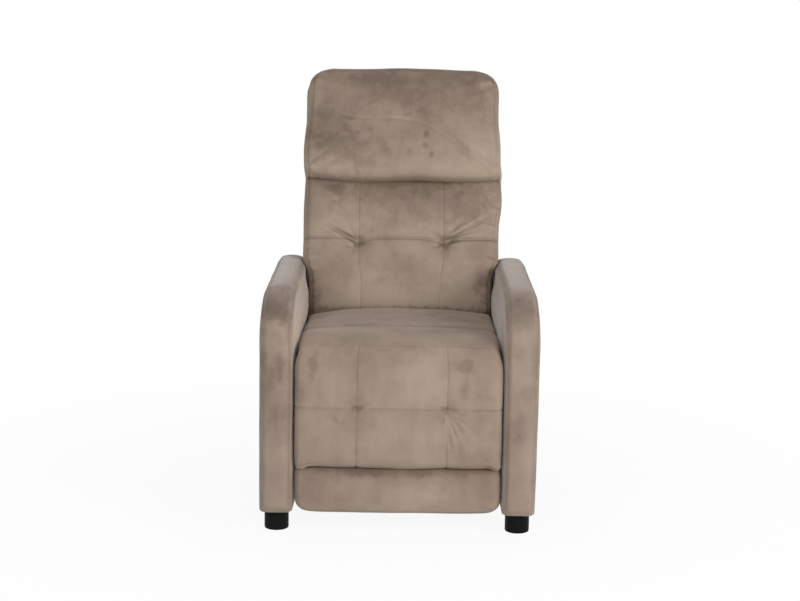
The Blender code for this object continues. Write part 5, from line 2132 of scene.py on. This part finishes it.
@dataclass
class Studio:
    """The plain floor, the soft light and the camera."""

    picture: tuple[int, int] = (800, 601)
    focal_pixels: float = 1938.0
    sensor: float = 36.0
    eye: Place = (0.0, -4.583, 1.25)
    pitch: float = 9.67
    roll: float = 0.85
    floor_half: float = 14.0
    floor_colour: Colour = (0.82, 0.82, 0.82)
    floor_roughness: float = 0.9
    shadow_reach: Pair = (0.5, 1.6)
    shadow_white: Pair = (0.92, 1.0)
    daylight: Colour = (1.0, 0.995, 0.985)
    daylight_strength: float = 0.40
    lamps: tuple[Lamp, ...] = (
        Lamp("key", (3.2, -3.0, 1.9), (0.0, -0.1, 0.5), 1.5, 113.0),
        Lamp("fill", (-1.6, -4.1, 1.5), (0.0, 0.0, 0.5), 1.8, 66.0),
        Lamp("top", (0.0, 0.8, 3.4), (0.0, 0.0, 0.5), 2.2, 26.0))

    def camera(self) -> None:
        """Place the camera at the photograph's viewing angle."""
        data = bpy.data.cameras.new("camera")
        data.sensor_width = self.sensor
        data.lens = self.focal_pixels * self.sensor / self.picture[0]
        camera = bpy.data.objects.new("camera", data)
        tilt = Matrix.Rotation(math.radians(90 - self.pitch), 4, "X")
        roll = Matrix.Rotation(math.radians(self.roll), 4, "Z")
        camera.matrix_world = Matrix.Translation(self.eye) @ tilt @ roll
        bpy.context.scene.collection.objects.link(camera)
        bpy.context.scene.camera = camera

    def seen(self, graph: Graph) -> Outlet:
        """Return 1 for rays from the camera or a reflection, and 0 for light.

        Args:
            graph: The graph that gets the nodes.

        Returns:
            The value socket.
        """
        rays = graph.add("ShaderNodeLightPath").outputs
        reflected = graph.maths("MAXIMUM", rays["Is Glossy Ray"], rays["Is Transmission Ray"])
        return graph.maths("MAXIMUM", rays["Is Camera Ray"], reflected)

    def floor(self) -> None:
        """Lay the pale floor, which keeps the chair's shadow."""
        half = self.floor_half
        corners = [(-half, -half, 0.0), (half, -half, 0.0), (half, half, 0.0), (-half, half, 0.0)]
        mesh = bpy.data.meshes.new("floor")
        mesh.from_pydata(corners, [], [(0, 1, 2, 3)])
        floor = bpy.data.objects.new("floor", mesh)
        bpy.context.scene.collection.objects.link(floor)
        material = bpy.data.materials.new("pale_floor")
        material.use_nodes = True
        graph = Graph(material.node_tree)
        shader = material.node_tree.nodes["Principled BSDF"]
        graph.feed(shader, {"Base Color": (*self.floor_colour, 1), "Roughness": self.floor_roughness})
        glow = graph.add("ShaderNodeEmission", {"Color": (1, 1, 1, 1), "Strength": 1.0}).outputs[0]
        place = graph.add("ShaderNodeTexCoord").outputs["Object"]
        away = graph.add("ShaderNodeVectorMath", {0: place}, operation="LENGTH").outputs["Value"]
        blank = graph.add("ShaderNodeMapRange", {
            "Value": away, "From Min": self.shadow_reach[0], "From Max": self.shadow_reach[1],
            "To Min": self.shadow_white[0], "To Max": self.shadow_white[1]}).outputs["Result"]
        share = graph.maths("MULTIPLY", self.seen(graph), blank)
        mixed = graph.add("ShaderNodeMixShader", {0: share, 1: shader.outputs[0], 2: glow}).outputs[0]
        graph.feed(material.node_tree.nodes["Material Output"], {"Surface": mixed})
        mesh.materials.append(material)

    def world(self) -> None:
        """Give a white backdrop to what the camera sees, and a soft even light."""
        world = bpy.data.worlds.new("studio")
        world.use_nodes = True
        graph = Graph(world.node_tree)
        backdrop = graph.add("ShaderNodeBackground", {"Color": (1, 1, 1, 1), "Strength": 1.0}).outputs[0]
        light = world.node_tree.nodes["Background"]
        graph.feed(light, {"Color": (*self.daylight, 1), "Strength": self.daylight_strength})
        inputs = {0: self.seen(graph), 1: light.outputs[0], 2: backdrop}
        mixed = graph.add("ShaderNodeMixShader", inputs).outputs[0]
        graph.feed(world.node_tree.nodes["World Output"], {"Surface": mixed})
        bpy.context.scene.world = world

    def build(self) -> None:
        """Set up the whole studio."""
        bpy.context.scene.view_settings.view_transform = "Standard"
        self.world()
        self.floor()
        self.camera()
        for lamp in self.lamps:
            lamp.hang()


def dress_frame() -> None:
    """Give every shown solid the node finish of its slot."""
    slots = {part["node"]: Slot(part["material_slot"]) for part in frame["record"]["subparts"]}
    for name, node in frame["nodes"].items():
        finish = HARD_FINISHES.get(slots[name], VELVET)
        node.data.materials.clear()
        node.data.materials.append(finish.material())


def main() -> None:
    """Build the studio and every piece in order."""
    logging.basicConfig(level=logging.INFO)
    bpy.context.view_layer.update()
    Studio().build()
    dress_frame()
    pieces = (
        LumbarCushion("lumbar", "backrest", ("lumbar_cushion",), seed=2.0, facing_shade_level=0.42,
                      wrinkles=lumbar_wrinkles(), marks=LUMBAR_NAP_AND_SHADE),
        Headrest("headrest", "backrest", ("headrest_cushion",), seed=5.0, marks=HEADREST_NAP_AND_SHADE),
        BackShell("back_shell", "backrest", ("back_cover",), fill=0.9, seed=13.0,
                  filling=Filling(most=0.004)),
        RearPanel("rear_panel", "base", ("rear_stretcher",), fill=0.9, seed=17.0, uneven=0.0,
                  filling=Filling(most=0.001)),
        ChaiseCover("chaise_cover", "seat", ("seat_cushion", "chaise_roll", "footrest_pad"), seed=8.0,
                    facing_shade=0.30, facing_shade_level=-0.12, filling=Filling(most=0.009)),
        FootrestRoll("footrest_lower_roll", "footrest", ("footrest_roll",), seed=11.0, facing_shade=0.5,
                     facing_shade_level=-0.18, filling=Filling(most=0.008), marks=ROLL_NAP_AND_SHADOW),
        Arm(Side.LEFT, inner_panel_painted_light=0.62, marks=LEFT_ARM_MARKS),
        Arm(Side.RIGHT, seed=7.0, splay=0.003, marks=RIGHT_ARM_MARKS),
        ThinCloth("dust_cover", "seat", Slot.LINING, ("seat_rail_front", "seat_rail_rear"), sag=0.002),
        *(ThinCloth(f"back_webbing_{number}", "backrest", Slot.WEBBING, ("back_post_left", "back_post_right"))
          for number in (1, 2, 3)),
    )
    for part in pieces:
        part.fit(part.build())


if __name__ == "__main__":
    main()
